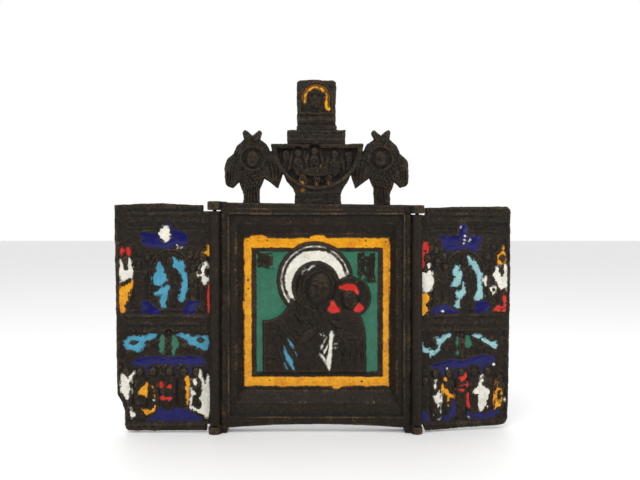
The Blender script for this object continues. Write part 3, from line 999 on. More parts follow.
    for points in (
        [(14.5, 43.6), (13.3, 42.5), (12.4, 40.3), (12.5, 38.8), (14.1, 37.9), (15.6, 38.1), (16.2, 39.4),
         (15.6, 40.9), (15.0, 42.5)],
        [(12.3, 38.5), (11.7, 37.2), (12.1, 34.9), (12.9, 32.5), (13.9, 32.4), (14.2, 34.1), (13.3, 35.3),
         (14.3, 35.6), (15.4, 35.3), (15.5, 36.0), (14.1, 36.8), (12.8, 37.7)],
        [(10.9, 44.8), (9.8, 44.2), (8.2, 44.0), (7.8, 42.5), (7.4, 40.3), (7.1, 38.2), (7.4, 35.7), (8.4, 33.4),
         (9.2, 33.9), (9.1, 35.7), (8.6, 37.8), (8.6, 40.3), (9.4, 41.7), (10.8, 42.5)],
    ):
        relief.enamel("light_blue", blob(x, z, points))
    upper = [(23.4, 23.5), (21.5, 24.6), (19.5, 24.7), (17.9, 24.3), (16.9, 25.2), (15.1, 25.3), (15.2, 24.1),
             (16.7, 23.8), (17.7, 22.9), (18.3, 21.9), (19.7, 20.8), (21.3, 20.9), (22.7, 21.7)]
    outer = [(9.6, 25.1), (7.6, 25.3), (5.6, 24.7), (3.6, 24.9), (1.9, 24.5), (1.8, 22.8), (2.4, 21.2), (3.6, 21.2),
             (5.0, 21.9), (6.8, 22.7), (7.4, 23.7), (9.0, 24.5)]
    relief.enamel("light_blue", np.maximum(blob(x, z, upper), -oval(x, z, 20.9, 23.1, 1.0, 0.5, -15)))
    relief.enamel("light_blue", np.maximum(blob(x, z, outer), -oval(x, z, 3.7, 23.9, 0.9, 0.3)))
    for points in (
        [(14.6, 22.7), (13.9, 24.6), (13.1, 24.6), (13.1, 22.6), (13.5, 20.2), (14.2, 20.8)],
        [(11.2, 24.5), (10.2, 24.7), (9.6, 22.8), (10.0, 21.2), (10.6, 19.9), (11.2, 20.4)],
    ):
        relief.enamel("green", blob(x, z, points))
    relief.settle_enamel(0.3, 140)
    return relief


@functools.lru_cache(maxsize=None)
def right_relief():
    relief = wing_base(OUTLINES["right"], 150)
    x, z = relief.x, relief.z
    base = PANEL_FLOOR
    arch_and_figure(relief, 13.0, 46.6, base)
    saint(relief, 2.9, 30.6, 15.2, base, half=1.4, turned=1)
    saint(relief, 5.7, 31.6, 13.0, base, half=1.4, turned=1)
    saint(relief, 7.7, 33.0, 10.4, base, half=1.0, turned=1)
    saint(relief, 23.2, 31.4, 14.4, base, half=1.4, turned=-1)
    saint(relief, 20.6, 31.6, 11.0, base, half=1.4, turned=-1, staff=True)
    relief.mound(12.6, 50.4, 2.3, 2.9, base, 0.45)
    for k in range(6):
        a = -1.2 + 0.48 * k
        relief.stroke([(12.6 + a, 49.4), (12.6 + 2.4 * a, 52.6 - 0.5 * abs(a))], 0.26, 0.16)
    for cx, cz, r in ((7.6, 45.2, 0.8), (5.3, 46.6, 0.8), (19.4, 45.2, 0.9), (21.0, 47.4, 0.7), (4.0, 47.2, 0.7)):
        relief.mound(cx, cz, r, r * 1.2, base, 0.5)
    saint(relief, 12.2, 19.0, 6.4, base, half=1.0)
    eaves(relief, ((1.8, 10.4), (22.6, 14.6)), 19.6, 24.4, base)
    for cx, cz in ((4.9, 23.4), (8.2, 21.4), (17.4, 21.4), (20.3, 24.0)):
        relief.mound(cx, cz, 0.9, 0.9, base, 0.55)
        relief.circle(cx, cz, 1.1, 0.28, 0.18)
    for s, height in ((2.4, 11.0), (5.3, 12.6), (8.8, 12.8), (12.2, 12.8), (15.7, 12.9), (19.3, 13.1), (22.6, 11.2)):
        saint(relief, s, 3.2, height, base, half=1.5, head=1.12, turned=1 if s < 12 else -1)
    relief.mound(12.2, 10.4, 2.1, 1.0, base + 0.3, 0.4)
    relief.wear(0.85, -0.6, 0.13, 164)
    relief.sand(bpy.context.scene.triptych_casting.grain * 1.3, 160)
    crown_edge(relief, OUTLINES["right"](x, z), 0.45)

    for points in (
        [(6.8, 50.5), (11.0, 50.7), (11.6, 53.4), (13.4, 53.6), (13.8, 51.0), (15.2, 50.8), (18.0, 50.4), (17.4, 48.4),
         (16.2, 46.4), (12.4, 47.2), (8.4, 46.4), (7.0, 48.6)],
        [(4.6, 32.0), (7.0, 33.1), (8.9, 32.4), (11.0, 31.1), (11.4, 30.5), (8.0, 30.4), (4.6, 30.6)],
        [(16.2, 33.2), (18.8, 33.6), (20.2, 32.6), (19.5, 31.2), (18.8, 30.5), (16.6, 30.5), (16.1, 31.4)],
        [(4.2, 16.9), (5.7, 17.8), (8.2, 18.3), (10.4, 18.7), (12.5, 18.1), (15.0, 18.9), (17.9, 19.5), (20.4, 19.0),
         (21.5, 18.0), (20.8, 16.9), (17.3, 16.7), (14.4, 16.7), (11.5, 16.0), (8.2, 16.4), (6.0, 16.1)],
        [(6.8, 16.6), (7.6, 16.5), (7.2, 13.8)],
        [(10.3, 16.4), (11.0, 16.3), (10.6, 14.4)],
        [(17.2, 17.0), (18.0, 17.0), (17.6, 14.0)],
        [(1.8, 5.8), (3.1, 5.2), (3.5, 3.0), (1.8, 3.0)],
        [(9.4, 7.4), (10.4, 7.2), (10.5, 4.2), (8.8, 2.9), (7.0, 3.1), (8.7, 5.0)],
        [(14.4, 4.6), (17, 4.3), (20, 4.6), (22.8, 5.2), (22.6, 3.5), (18, 3.1), (14.4, 3.2)],
    ):
        relief.enamel("dark_blue", blob(x, z, points))
    for points in (
        [(3.2, 43.8), (4.2, 41.0), (4.7, 39.0), (4.4, 37.2), (3.2, 36.0), (1.6, 36.6), (1.5, 41.0), (2.8, 41.2)],
        [(18.1, 39.8), (18.9, 39.5), (18.7, 38.4), (18.9, 37.6), (18.1, 38.0)],
        [(4.4, 8.9), (5.4, 9.6), (6.2, 10.7), (6.6, 9.6), (6.8, 7.9), (6.4, 7.3), (6.4, 6.5), (5.9, 6.1), (5.3, 7.3)],
        [(4.5, 12.0), (5.4, 13.3), (5.6, 11.9), (4.9, 10.9)],
        [(17.1, 12.4), (18.6, 11.3), (19.8, 10.2), (20.0, 9.3), (19.3, 8.0), (19.1, 6.3), (18.2, 5.1), (17.2, 5.2),
         (16.7, 8.0), (16.2, 9.3), (15.2, 10.0), (16.2, 11.1)],
    ):
        relief.enamel("white", blob(x, z, points))
    flame = [(22.4, 42.7), (24.2, 42.9), (24.5, 41.4), (24.6, 38.9), (24.4, 36.4), (23.7, 36.7), (22.8, 36.1),
             (21.5, 38.4), (20.9, 39.6), (19.8, 39.9), (21.2, 40.9), (21.6, 42.2)]
    relief.enamel("white", np.maximum(blob(x, z, flame), -oval(x, z, 23.1, 41.1, 0.5, 1.1)))
    relief.enamel("white", np.maximum(
        blob(x, z, [(19.9, 37.0), (21.8, 37.1), (20.8, 35.2)]), -disc(x, z, 20.85, 36.4, 0.35)))
    for points in ([(12.1, 49.6), (13.4, 49.2)], [(12.9, 50.7), (13.2, 49.9)], [(14.1, 50.4), (14.4, 49.5), (13.8, 48.7)],
                   [(12.4, 48.8), (12.9, 48.3)]):
        relief.enamel("white", streak(x, z, points, 0.26))
    for cx, cz, r in ((8.3, 16.2, 0.22), (9.2, 3.9, 0.22), (15.2, 3.6, 0.25), (14.5, 3.5, 0.16), (21.3, 16.9, 0.2),
                      (24.0, 7.6, 0.24), (18.1, 12.7, 0.4), (17.6, 13.9, 0.3), (19.3, 6.0, 0.4), (5.2, 4.4, 0.2),
                      (6.2, 3.6, 0.2), (6.6, 5.2, 0.18), (5.9, 4.9, 0.22), (11.9, 52.6, 0.2), (7.1, 31.2, 0.2)):
        relief.enamel("white", disc(x, z, cx, cz, r))
    for points, width in (
        ([(1.7, 49.0), (1.7, 45), (1.7, 41.5)], 0.42), ([(3.0, 49.2), (3.0, 46.2)], 0.42),
        ([(2.2, 48.8), (2.4, 46.5)], 0.4), ([(23.8, 36.5), (23.7, 34), (23.9, 31.6)], 0.42),
        ([(20.8, 31.2), (22.6, 31.8), (24.4, 31.0)], 0.55), ([(22.2, 30.9), (24.2, 32.4)], 0.4),
        ([(11.7, 12.0), (12.8, 14.0), (13.9, 13.9)], 0.7), ([(11.4, 11.7), (14.2, 12.0)], 0.4),
        ([(10.7, 10.6), (13.3, 10.5)], 0.6), ([(14.0, 9.6), (14.2, 7.6), (14.5, 5.8)], 0.36),
    ):
        relief.enamel("red", streak(x, z, points, width))
    for points in (
        [(1.6, 36.3), (3.0, 35.7), (3.6, 34.2), (2.9, 32.8), (3.5, 31.2), (2.6, 30.6), (1.6, 30.6)],
        [(7.3, 12.0), (8.4, 10.8), (9.3, 9.9), (10.2, 9.2), (10.0, 8.4), (9.1, 8.3), (8.7, 6.0), (8.3, 7.3),
         (8.0, 9.1), (7.4, 9.6), (6.7, 9.6), (6.7, 11.0)],
    ):
        relief.enamel("yellow", blob(x, z, points))
    tear = [(23.8, 47.8), (24.0, 46.0), (24.1, 44.4), (23.9, 42.9), (22.4, 42.9), (22.2, 45.0), (23.0, 46.4)]
    relief.enamel("yellow", np.maximum(blob(x, z, tear), -oval(x, z, 23.3, 44.4, 0.5, 0.8)))
    relief.enamel("yellow", np.maximum(oval(x, z, 22.3, 8.6, 1.2, 3.5), -oval(x, z, 22.5, 8.8, 0.42, 1.6)))
    relief.enamel("yellow", streak(x, z, [(7.4, 13.9), (8.6, 12.6)], 0.25))
    relief.enamel("yellow", disc(x, z, 5.8, 4.0, 0.25))
    for points in (
        [(11.0, 43.0), (12.0, 41.6), (12.3, 40.0), (11.8, 38.6), (11.9, 37.9), (10.8, 37.3), (9.5, 37.6), (10.2, 39.4),
         (10.1, 41.2)],
        [(12.6, 38.9), (13.3, 36.8), (13.1, 35.2), (12.0, 33.4), (11.8, 31.9), (10.9, 31.8), (10.4, 32.6), (11.2, 34.4),
         (10.5, 35.7), (11.8, 36.8)],
        [(13.9, 45.3), (15.1, 44.4), (16.4, 43.6), (16.9, 42.2), (17.8, 40.9), (17.8, 38.9), (17.9, 37.0), (18.2, 35.0),
         (17.8, 33.9), (16.4, 33.4), (15.9, 34.6), (16.5, 36.8), (16.6, 39.0), (15.9, 41.3), (14.6, 42.8)],
        [(1.7, 23.0), (2.4, 21.8), (3.9, 21.3), (5.4, 21.5), (5.8, 22.9), (4.4, 24.0), (5.9, 24.2), (7.0, 24.4),
         (8.8, 25.0), (9.2, 24.6), (8.0, 23.6), (7.0, 22.7), (6.2, 20.9), (3.9, 19.6), (2.2, 20.5), (1.7, 21.4)],
        [(15.4, 24.7), (17.0, 24.7), (18.6, 23.6), (20.0, 22.7), (21.6, 22.9), (22.3, 22.0), (21.6, 21.2), (20.4, 21.6),
         (18.6, 22.5), (17.2, 23.5), (15.9, 23.9)],
    ):
        relief.enamel("light_blue", blob(x, z, points))
    for points in (
        [(13.8, 24.6), (14.8, 23.2), (15.2, 22.2), (14.1, 21.5), (12.9, 22.3), (13.4, 23.4)],
        [(10.9, 20.9), (11.7, 20.4), (11.4, 19.5), (10.7, 19.9)],
    ):
        relief.enamel("green", blob(x, z, points))
    relief.enamel("green", streak(x, z, [(11.2, 24.0), (11.1, 21.9)], 0.28))
    relief.settle_enamel(0.3, 170)
    return relief


# ---- Meshes ----

def clear_selection():
    if bpy.context.object and bpy.context.object.mode != "OBJECT":
        bpy.ops.object.mode_set(mode="OBJECT")
    bpy.ops.object.select_all(action="DESELECT")


def only(ob):
    clear_selection()
    bpy.context.view_layer.objects.active = ob
    ob.select_set(True)


def vertices(ob):
    co = np.empty(len(ob.data.vertices) * 3, np.float32)
    ob.data.vertices.foreach_get("co", co)
    return co.reshape(-1, 3).astype(float)


def set_vertices(ob, co):
    ob.data.vertices.foreach_set("co", co.astype(np.float32).ravel())
    ob.data.update()


def edit(ob, select_all=True, faces=False):
    only(ob)
    bpy.context.scene.tool_settings.mesh_select_mode = (not faces, False, faces)
    bpy.ops.object.mode_set(mode="EDIT")
    if select_all:
        bpy.ops.mesh.select_all(action="SELECT")


def done():
    bpy.ops.object.mode_set(mode="OBJECT")


def select_faces(ob, chosen):
    mesh = ob.data
    mesh.vertices.foreach_set("select", np.zeros(len(mesh.vertices), bool))
    mesh.edges.foreach_set("select", np.zeros(len(mesh.edges), bool))
    mesh.polygons.foreach_set("select", chosen)


def face_centres(ob):
    centre = np.empty(len(ob.data.polygons) * 3, np.float32)
    ob.data.polygons.foreach_get("center", centre)
    return centre.reshape(-1, 3)


def cut_sheet(name, box, step, outline, walls=3):
    """A flat sheet cut to an outline and pulled up into a closed slab; returns it and its layers."""
    clear_selection()
    x0, x1, z0, z1 = box
    columns = int(round((x1 - x0) / step))
    rows = int(round((z1 - z0) / step))
    bpy.ops.mesh.primitive_grid_add(x_subdivisions=columns, y_subdivisions=rows, size=1, calc_uvs=False)
    ob = bpy.context.active_object
    ob.name = name
    ob.data.name = name
    co = vertices(ob)
    co[:, 0] = x0 + (co[:, 0] + 0.5) * (x1 - x0)
    co[:, 1] = z0 + (co[:, 1] + 0.5) * (z1 - z0)
    co[:, 2] = np.clip(outline(co[:, 0], co[:, 1]), -2, 2)
    set_vertices(ob, co)
    edit(ob)
    bpy.ops.mesh.bisect(plane_co=(0, 0, 0), plane_no=(0, 0, 1), clear_outer=True, threshold=1e-4)
    bpy.ops.mesh.select_all(action="SELECT")
    bpy.ops.mesh.remove_doubles(threshold=0.02)
    bpy.ops.mesh.delete_loose()
    done()
    co = vertices(ob)
    if len(co) == 0:
        raise RuntimeError(f"{name}: the outline leaves nothing")
    co[:, 2] = 0
    set_vertices(ob, co)
    edit(ob)
    for _ in range(walls):
        bpy.ops.mesh.extrude_region_move(TRANSFORM_OT_translate={"value": (0, 0, 1)})
    done()
    layer = np.rint(vertices(ob)[:, 2]).astype(int)
    return ob, layer


def shape_sheet(ob, layer, walls, front, back, thin=0.06):
    """Gives the layers of a slab their heights, and thins the mesh of its back."""
    co = vertices(ob)
    x, z = co[:, 0], co[:, 1]
    top, bottom = front(x, z), back(x, z)
    share = layer / walls
    co[:, 2] = bottom + (top - bottom) * share
    centre = face_centres(ob)
    on_back = centre[:, 2] < 0.01
    set_vertices(ob, co)
    if thin < 1:
        select_faces(ob, on_back)
        edit(ob, select_all=False, faces=True)
        bpy.ops.mesh.decimate(ratio=thin)
        done()
    edit(ob)
    bpy.ops.mesh.normals_make_consistent(inside=False)
    done()


def boolean(ob, other, operation):
    only(ob)
    modifier = ob.modifiers.new(operation.lower(), "BOOLEAN")
    modifier.operation = operation
    modifier.solver = "MANIFOLD"
    modifier.object = other
    bpy.ops.object.modifier_apply(modifier=modifier.name)
    bpy.data.objects.remove(other, do_unlink=True)


def upright_bar(x, height, radius, low, high, sides=48, soft=0.3):
    """A round bar along the hinge axis, its ends softened; lying down with the rest of the sheet."""
    clear_selection()
    bpy.ops.mesh.primitive_cylinder_add(
        vertices=sides, radius=radius, depth=high - low, location=(x, 0.5 * (low + high), height),
        rotation=(math.pi / 2, 0, 0))
    ob = bpy.context.active_object
    bpy.ops.object.transform_apply(location=True, rotation=True, scale=True)
    if soft:
        edit(ob, select_all=False)
        bpy.ops.mesh.select_all(action="DESELECT")
        bpy.ops.mesh.select_mode(type="EDGE")
        bpy.ops.mesh.edges_select_sharp(sharpness=math.radians(60))
        bpy.ops.mesh.bevel(offset=soft, segments=3)
        done()
    return ob


def brick(x0, x1, z0, z1, low, high, soft=0.25):
    clear_selection()
    bpy.ops.mesh.primitive_cube_add(
        size=1, location=(0.5 * (x0 + x1), 0.5 * (z0 + z1), 0.5 * (low + high)),
        scale=(x1 - x0, z1 - z0, high - low))
    ob = bpy.context.active_object
    bpy.ops.object.transform_apply(location=True, rotation=True, scale=True)
    edit(ob)
    bpy.ops.mesh.bevel(offset=soft, segments=2)
    bpy.ops.mesh.select_all(action="SELECT")
    bpy.ops.mesh.subdivide(number_cuts=3)
    done()
    return ob


def put_maps(ob, relief, handled=99.0):
    """Stores how far each front vertex stands out, for the rubbed and the dirty places.

    Past the handled distance from the middle, as on the lugs, the metal is rubbed all over.
    """
    co = vertices(ob)
    x, z = co[:, 0], co[:, 1]
    on_front = np.abs(co[:, 2] - relief.at(x, z)) < 0.3
    for name, values in relief.maps().items():
        attribute = ob.data.attributes.new(name, "FLOAT", "POINT")
        found = np.where(on_front, relief.at(x, z, values), 0.0)
        found = np.where(np.abs(x) > handled, 1.6, found)
        attribute.data.foreach_set("value", found.astype(np.float32))


def place(ob, matrix, angle=35):
    only(ob)
    ob.matrix_world = matrix
    bpy.ops.object.transform_apply(location=True, rotation=True, scale=True)
    edit(ob)
    bpy.ops.mesh.normals_make_consistent(inside=False)
    done()
    bpy.ops.object.shade_smooth_by_angle(angle=math.radians(angle))


def flat_back(level, outline, seed, soft=0.35):
    """A plain back, softened at its edge, as the sand left it."""
    def back(x, z):
        t = np.clip(soft + outline(x, z), 0, soft)
        return level + soft - np.sqrt(soft * soft - t * t) + 0.05 * (1 + hills(x, z, 4.0, seed))
    return back


# ---- Materials ----

def new_group(name, inputs, outputs):
    group = bpy.data.node_groups.new(name, "ShaderNodeTree")
    for socket, kind, value in inputs:
        item = group.interface.new_socket(socket, in_out="INPUT", socket_type=kind)
        item.default_value = value
    for socket, kind in outputs:
        group.interface.new_socket(socket, in_out="OUTPUT", socket_type=kind)
    return group


class Nodes:
    """Short ways to add nodes to a tree."""

    def __init__(self, tree):
        self.tree = tree

    def add(self, kind, inputs=(), **settings):
        node = self.tree.nodes.new(kind)
        for name, value in settings.items():
            setattr(node, name, value)
        for name, value in dict(inputs).items():
            self.feed(node.inputs[name], value)
        return node

    def feed(self, socket, value):
        if isinstance(value, bpy.types.NodeSocket):
            self.tree.links.new(value, socket)
        else:
            socket.default_value = value

    def mix(self, share, first, second, blend="MIX"):
        node = self.add("ShaderNodeMix", data_type="RGBA", blend_type=blend)
        self.feed(node.inputs[0], share)
        self.feed(node.inputs[6], first)
        self.feed(node.inputs[7], second)
        return node.outputs[2]

    def maths(self, operation, first, second=0.5, third=None, clamp=False):
        node = self.add("ShaderNodeMath", operation=operation, use_clamp=clamp)
        self.feed(node.inputs[0], first)
        self.feed(node.inputs[1], second)
        if third is not None:
            self.feed(node.inputs[2], third)
        return node.outputs[0]

    def span(self, value, low, high, to_low=0.0, to_high=1.0):
        node = self.add("ShaderNodeMapRange", interpolation_type="SMOOTHSTEP")
        for index, given in enumerate((value, low, high, to_low, to_high)):
            self.feed(node.inputs[index], given)
        return node.outputs[0]

    def noise(self, where, scale, detail=4.0, roughness=0.55):
        node = self.add("ShaderNodeTexNoise", {"Vector": where, "Scale": scale, "Detail": detail,
                                               "Roughness": roughness})
        return node.outputs["Fac"]


def millimetres(nodes):
    """Object coordinates counted in millimetres."""
    where = nodes.add("ShaderNodeTexCoord").outputs["Object"]
    return nodes.add("ShaderNodeMapping", {"Vector": where, "Scale": (1000, 1000, 1000)}).outputs[0]


def bronze_group():
    colours = ("Patina", "Bare", "Brass", "Grime")
    group = new_group(
        "Old cast bronze",
        [(name, "NodeSocketColor", (0.1, 0.1, 0.1, 1)) for name in colours]
        + [("Stands out", "NodeSocketFloat", 0.0), ("Shelter", "NodeSocketFloat", 0.0),
           ("Rubbing", "NodeSocketFloat", 0.5), ("Brightness", "NodeSocketFloat", 0.0)],
        [("Color", "NodeSocketColor"), ("Roughness", "NodeSocketFloat"), ("Metal", "NodeSocketFloat"),
         ("Height", "NodeSocketFloat")])
    n = Nodes(group)
    given = n.add("NodeGroupInput").outputs
    where = millimetres(n)
    fine = n.noise(where, 3.4, 5.0, 0.65)
    broad = n.noise(where, 0.22, 3.0)
    mottled = n.noise(where, 1.1, 4.0, 0.6)
    pits = n.add("ShaderNodeTexVoronoi", {"Vector": where, "Scale": 1.9, "Randomness": 1.0}).outputs["Distance"]
    pit = n.span(pits, 0.02, 0.16, 1.0, 0.0)
    rub = n.maths("MULTIPLY_ADD", given["Stands out"], 0.2, n.maths("MULTIPLY_ADD", given["Shelter"], 0.16, -0.06))
    rub = n.maths("ADD", rub, n.maths("MULTIPLY_ADD", fine, 2.0, -1.0))
    rub = n.maths("ADD", rub, n.maths("MULTIPLY_ADD", broad, 1.6, -0.8))
    rub = n.maths("MULTIPLY", n.span(rub, 0.05, 0.75), given["Rubbing"], clamp=True)
    bright = n.maths("MULTIPLY", n.span(n.maths("ADD", rub, n.maths("MULTIPLY_ADD", mottled, 0.8, -0.4)), 0.35, 0.95),
                     given["Brightness"], clamp=True)
    grain = n.span(n.maths("MULTIPLY_ADD", fine, 0.7, n.maths("MULTIPLY", mottled, 0.5)), 0.52, 0.78)
    skin = n.mix(grain, given["Patina"], n.mix(0.28, given["Patina"], given["Bare"]))
    skin = n.mix(rub, skin, given["Bare"])
    skin = n.mix(bright, skin, given["Brass"])
    sunk = n.maths("MULTIPLY_ADD", given["Stands out"], -0.35, n.maths("MULTIPLY", given["Shelter"], -0.35))
    dirt = n.span(n.maths("ADD", sunk, n.maths("MULTIPLY_ADD", broad, 0.5, -0.25)), 0.1, 0.8, 0.0, 0.85)
    skin = n.mix(dirt, skin, given["Grime"])
    skin = n.mix(n.maths("MULTIPLY", pit, 0.7), skin, given["Grime"])
    rough = n.maths("MULTIPLY_ADD", rub, -0.2, n.maths("MULTIPLY_ADD", fine, 0.25, 0.47))
    rough = n.maths("MULTIPLY_ADD", dirt, 0.2, rough, clamp=True)
    metal = n.maths("MULTIPLY_ADD", rub, 0.35, n.maths("MULTIPLY_ADD", dirt, -0.35, 0.5), clamp=True)
    height = n.maths("MULTIPLY_ADD", pit, -0.6, n.maths("MULTIPLY_ADD", mottled, 0.5, fine))
    n.add("NodeGroupOutput", {"Color": skin, "Roughness": rough, "Metal": metal, "Height": height})
    return group


def enamel_group():
    group = new_group(
        "Fired enamel",
        [("Glaze", "NodeSocketColor", (0.5, 0.5, 0.5, 1)), ("Deep", "NodeSocketColor", (0.2, 0.2, 0.2, 1)),
         ("Speck", "NodeSocketColor", (0.02, 0.02, 0.02, 1)), ("Specks", "NodeSocketFloat", 0.5),
         ("Clouds", "NodeSocketFloat", 0.5), ("Pit", "NodeSocketFloat", 0.0), ("Thin", "NodeSocketFloat", 0.0)],
        [("Color", "NodeSocketColor"), ("Roughness", "NodeSocketFloat"), ("Height", "NodeSocketFloat")])
    n = Nodes(group)
    given = n.add("NodeGroupInput").outputs
    where = millimetres(n)
    cloud = n.noise(where, 0.32, 3.0, 0.6)
    blotch = n.noise(where, 1.5, 4.0, 0.65)
    fine = n.noise(where, 5.0, 3.0, 0.6)
    shade = n.span(n.maths("MULTIPLY_ADD", blotch, 0.6, n.maths("MULTIPLY", cloud, 0.6)), 0.42, 0.82)
    colour_out = n.mix(n.maths("MULTIPLY", shade, given["Clouds"]), given["Glaze"], given["Deep"])
    spots = n.add("ShaderNodeTexVoronoi", {"Vector": where, "Scale": 1.35, "Randomness": 1.0})
    size = n.span(spots.outputs["Color"], 0.55, 1.0, 0.0, 0.17)
    spot = n.maths("MULTIPLY", n.maths("LESS_THAN", spots.outputs["Distance"], size), given["Specks"], clamp=True)
    dust = n.span(fine, 0.66, 0.78)
    mark = n.maths("MAXIMUM", spot, n.maths("MULTIPLY", n.maths("MULTIPLY", dust, 0.55), given["Specks"]))
    mark = n.maths("MAXIMUM", mark, given["Pit"])
    thin = n.span(n.maths("ADD", given["Thin"], n.maths("MULTIPLY_ADD", blotch, 0.8, -0.4)), 0.45, 0.9)
    mark = n.maths("MAXIMUM", mark, n.maths("MULTIPLY", thin, 0.85), clamp=True)
    colour_out = n.mix(mark, colour_out, given["Speck"])
    rough = n.maths("MULTIPLY_ADD", mark, 0.35, n.maths("MULTIPLY_ADD", blotch, 0.22, 0.12), clamp=True)
    height = n.maths("MULTIPLY_ADD", mark, -0.7, n.maths("MULTIPLY", blotch, 0.5))
    n.add("NodeGroupOutput", {"Color": colour_out, "Roughness": rough, "Height": height})
    return group


def material_tree(name):
    material = bpy.data.materials.new(name)
    material.use_nodes = True
    material.node_tree.nodes.clear()
    return material, Nodes(material.node_tree)


@functools.lru_cache(maxsize=None)
def shared_groups():
    return bronze_group(), enamel_group()


def use_group(nodes, group, values):
    node = nodes.add("ShaderNodeGroup")
    node.node_tree = group
    for name, value in values.items():
        nodes.feed(node.inputs[name], value)
    return node.outputs


def bronze(name, rubbing=0.55, brightness=0.5):
    finish = bpy.context.scene.triptych_finish
    material, n = material_tree(name)
    stands_out = n.add("ShaderNodeAttribute", attribute_name="stands_out").outputs["Fac"]
    shelter = n.add("ShaderNodeAttribute", attribute_name="shelter").outputs["Fac"]
    out = use_group(n, shared_groups()[0], {
        "Patina": finish.patina, "Bare": finish.bare, "Brass": finish.brass, "Grime": finish.grime,
        "Stands out": stands_out, "Shelter": shelter, "Rubbing": rubbing, "Brightness": brightness})
    bump = n.add("ShaderNodeBump", {"Height": out["Height"], "Strength": 0.55, "Distance": 0.00006})
    shader = n.add("ShaderNodeBsdfPrincipled", {
        "Base Color": out["Color"], "Roughness": out["Roughness"], "Metallic": out["Metal"],
        "Normal": bump.outputs[0], "Specular IOR Level": 0.3})
    n.add("ShaderNodeOutputMaterial", {"Surface": shader.outputs[0]})
    return material


def glaze(name, main, deep, speck, specks, clouds):
    material, n = material_tree(name)
    pit = n.add("ShaderNodeAttribute", attribute_name="pit").outputs["Fac"]
    thin = n.add("ShaderNodeAttribute", attribute_name="thin").outputs["Fac"]
    out = use_group(n, shared_groups()[1], {
        "Glaze": main, "Deep": deep, "Speck": speck, "Specks": specks, "Clouds": clouds, "Pit": pit, "Thin": thin})
    bump = n.add("ShaderNodeBump", {"Height": out["Height"], "Strength": 0.4, "Distance": 0.00005})
    shader = n.add("ShaderNodeBsdfPrincipled", {
        "Base Color": out["Color"], "Roughness": out["Roughness"], "Normal": bump.outputs[0],
        "Specular IOR Level": 0.22, "Coat Weight": 0.08, "Coat Roughness": 0.1, "IOR": 1.5})
    n.add("ShaderNodeOutputMaterial", {"Surface": shader.outputs[0]})
    return material


def tone(value, factor, shift=(1, 1, 1)):
    return (*(min(v * factor * s, 1) for v, s in zip(value[:3], shift)), 1)


@functools.lru_cache(maxsize=None)
def enamel_material(kind):
    """The glaze of each colour: its main tone, its deeper tone, and how speckled it is."""
    f = bpy.context.scene.triptych_finish
    dark = (0.02, 0.012, 0.008, 1)
    table = {
        "yellow": (f.yellow, tone(f.yellow, 0.66, (1, 0.66, 0.5)), dark, 0.75, 0.9),
        "amber": (tone(f.yellow, 0.42, (1, 0.75, 1)), tone(f.yellow, 0.16), dark, 0.8, 0.9),
        "green": (f.green, tone(f.green, 0.62), tone(f.green, 0.25), 0.8, 0.8),
        "white": (f.white, tone(f.white, 0.6), (0.07, 0.07, 0.075, 1), 0.9, 0.75),
        "red": (f.red, tone(f.red, 0.5), dark, 0.5, 0.7),
        "dark_blue": (f.dark_blue, tone(f.dark_blue, 0.4), (0.01, 0.01, 0.02, 1), 0.4, 0.7),
        "light_blue": (f.light_blue, tone(f.light_blue, 0.6), (0.03, 0.10, 0.14, 1), 0.55, 0.75),
        "pale_blue": (f.pale_blue, tone(f.pale_blue, 0.62), (0.05, 0.13, 0.15, 1), 0.65, 0.75),
    }
    return glaze("enamel_" + kind, *table[kind])


# ---- Pieces ----

def finish_piece(ob, body, material, replaced=()):
    ob.data.materials.clear()
    ob.data.materials.append(material)
    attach(ob, body)
    if replaced:
        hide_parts(*replaced)


def pour_enamels(relief, prefix, body, matrix, replaced, materials):
    """Fills the beds of one casting: each colour is one piece, however many islands it has."""
    step = bpy.context.scene.triptych_casting.enamel_step
    for seed, (kind, region) in enumerate(sorted(relief.enamels.items())):
        inside = region < 0.3
        x, z = relief.x[inside], relief.z[inside]
        box = (x.min() - 0.4, x.max() + 0.4, z.min() - 0.4, z.max() + 0.4)
        ob, layer = cut_sheet(
            f"{prefix}_enamel_{kind}", box, step, lambda u, v: relief.at(u, v, region) - 0.22, walls=1)
        surface = relief.glass[kind]
        bed = soften(surface, 5)
        shape_sheet(
            ob, layer, 1, lambda u, v: relief.at(u, v, surface), lambda u, v: relief.at(u, v, bed) - 0.4, thin=0.12)
        co = vertices(ob)
        depth = relief.at(co[:, 0], co[:, 1], region)
        thin = ob.data.attributes.new("thin", "FLOAT", "POINT")
        thin.data.foreach_set("value", ramp(-0.55, 0.1, depth).astype(np.float32))
        holes = np.zeros(len(co))
        for px, pz, r in (PITS if prefix == "leaf" else ()):
            holes = np.maximum(holes, ramp(r + 0.09, r - 0.06, np.hypot(co[:, 0] - px, co[:, 1] - pz)))
        pit = ob.data.attributes.new("pit", "FLOAT", "POINT")
        pit.data.foreach_set("value", holes.astype(np.float32))
        place(ob, matrix, 60)
        finish_piece(ob, body, enamel_material(materials.get(kind, kind)), replaced)


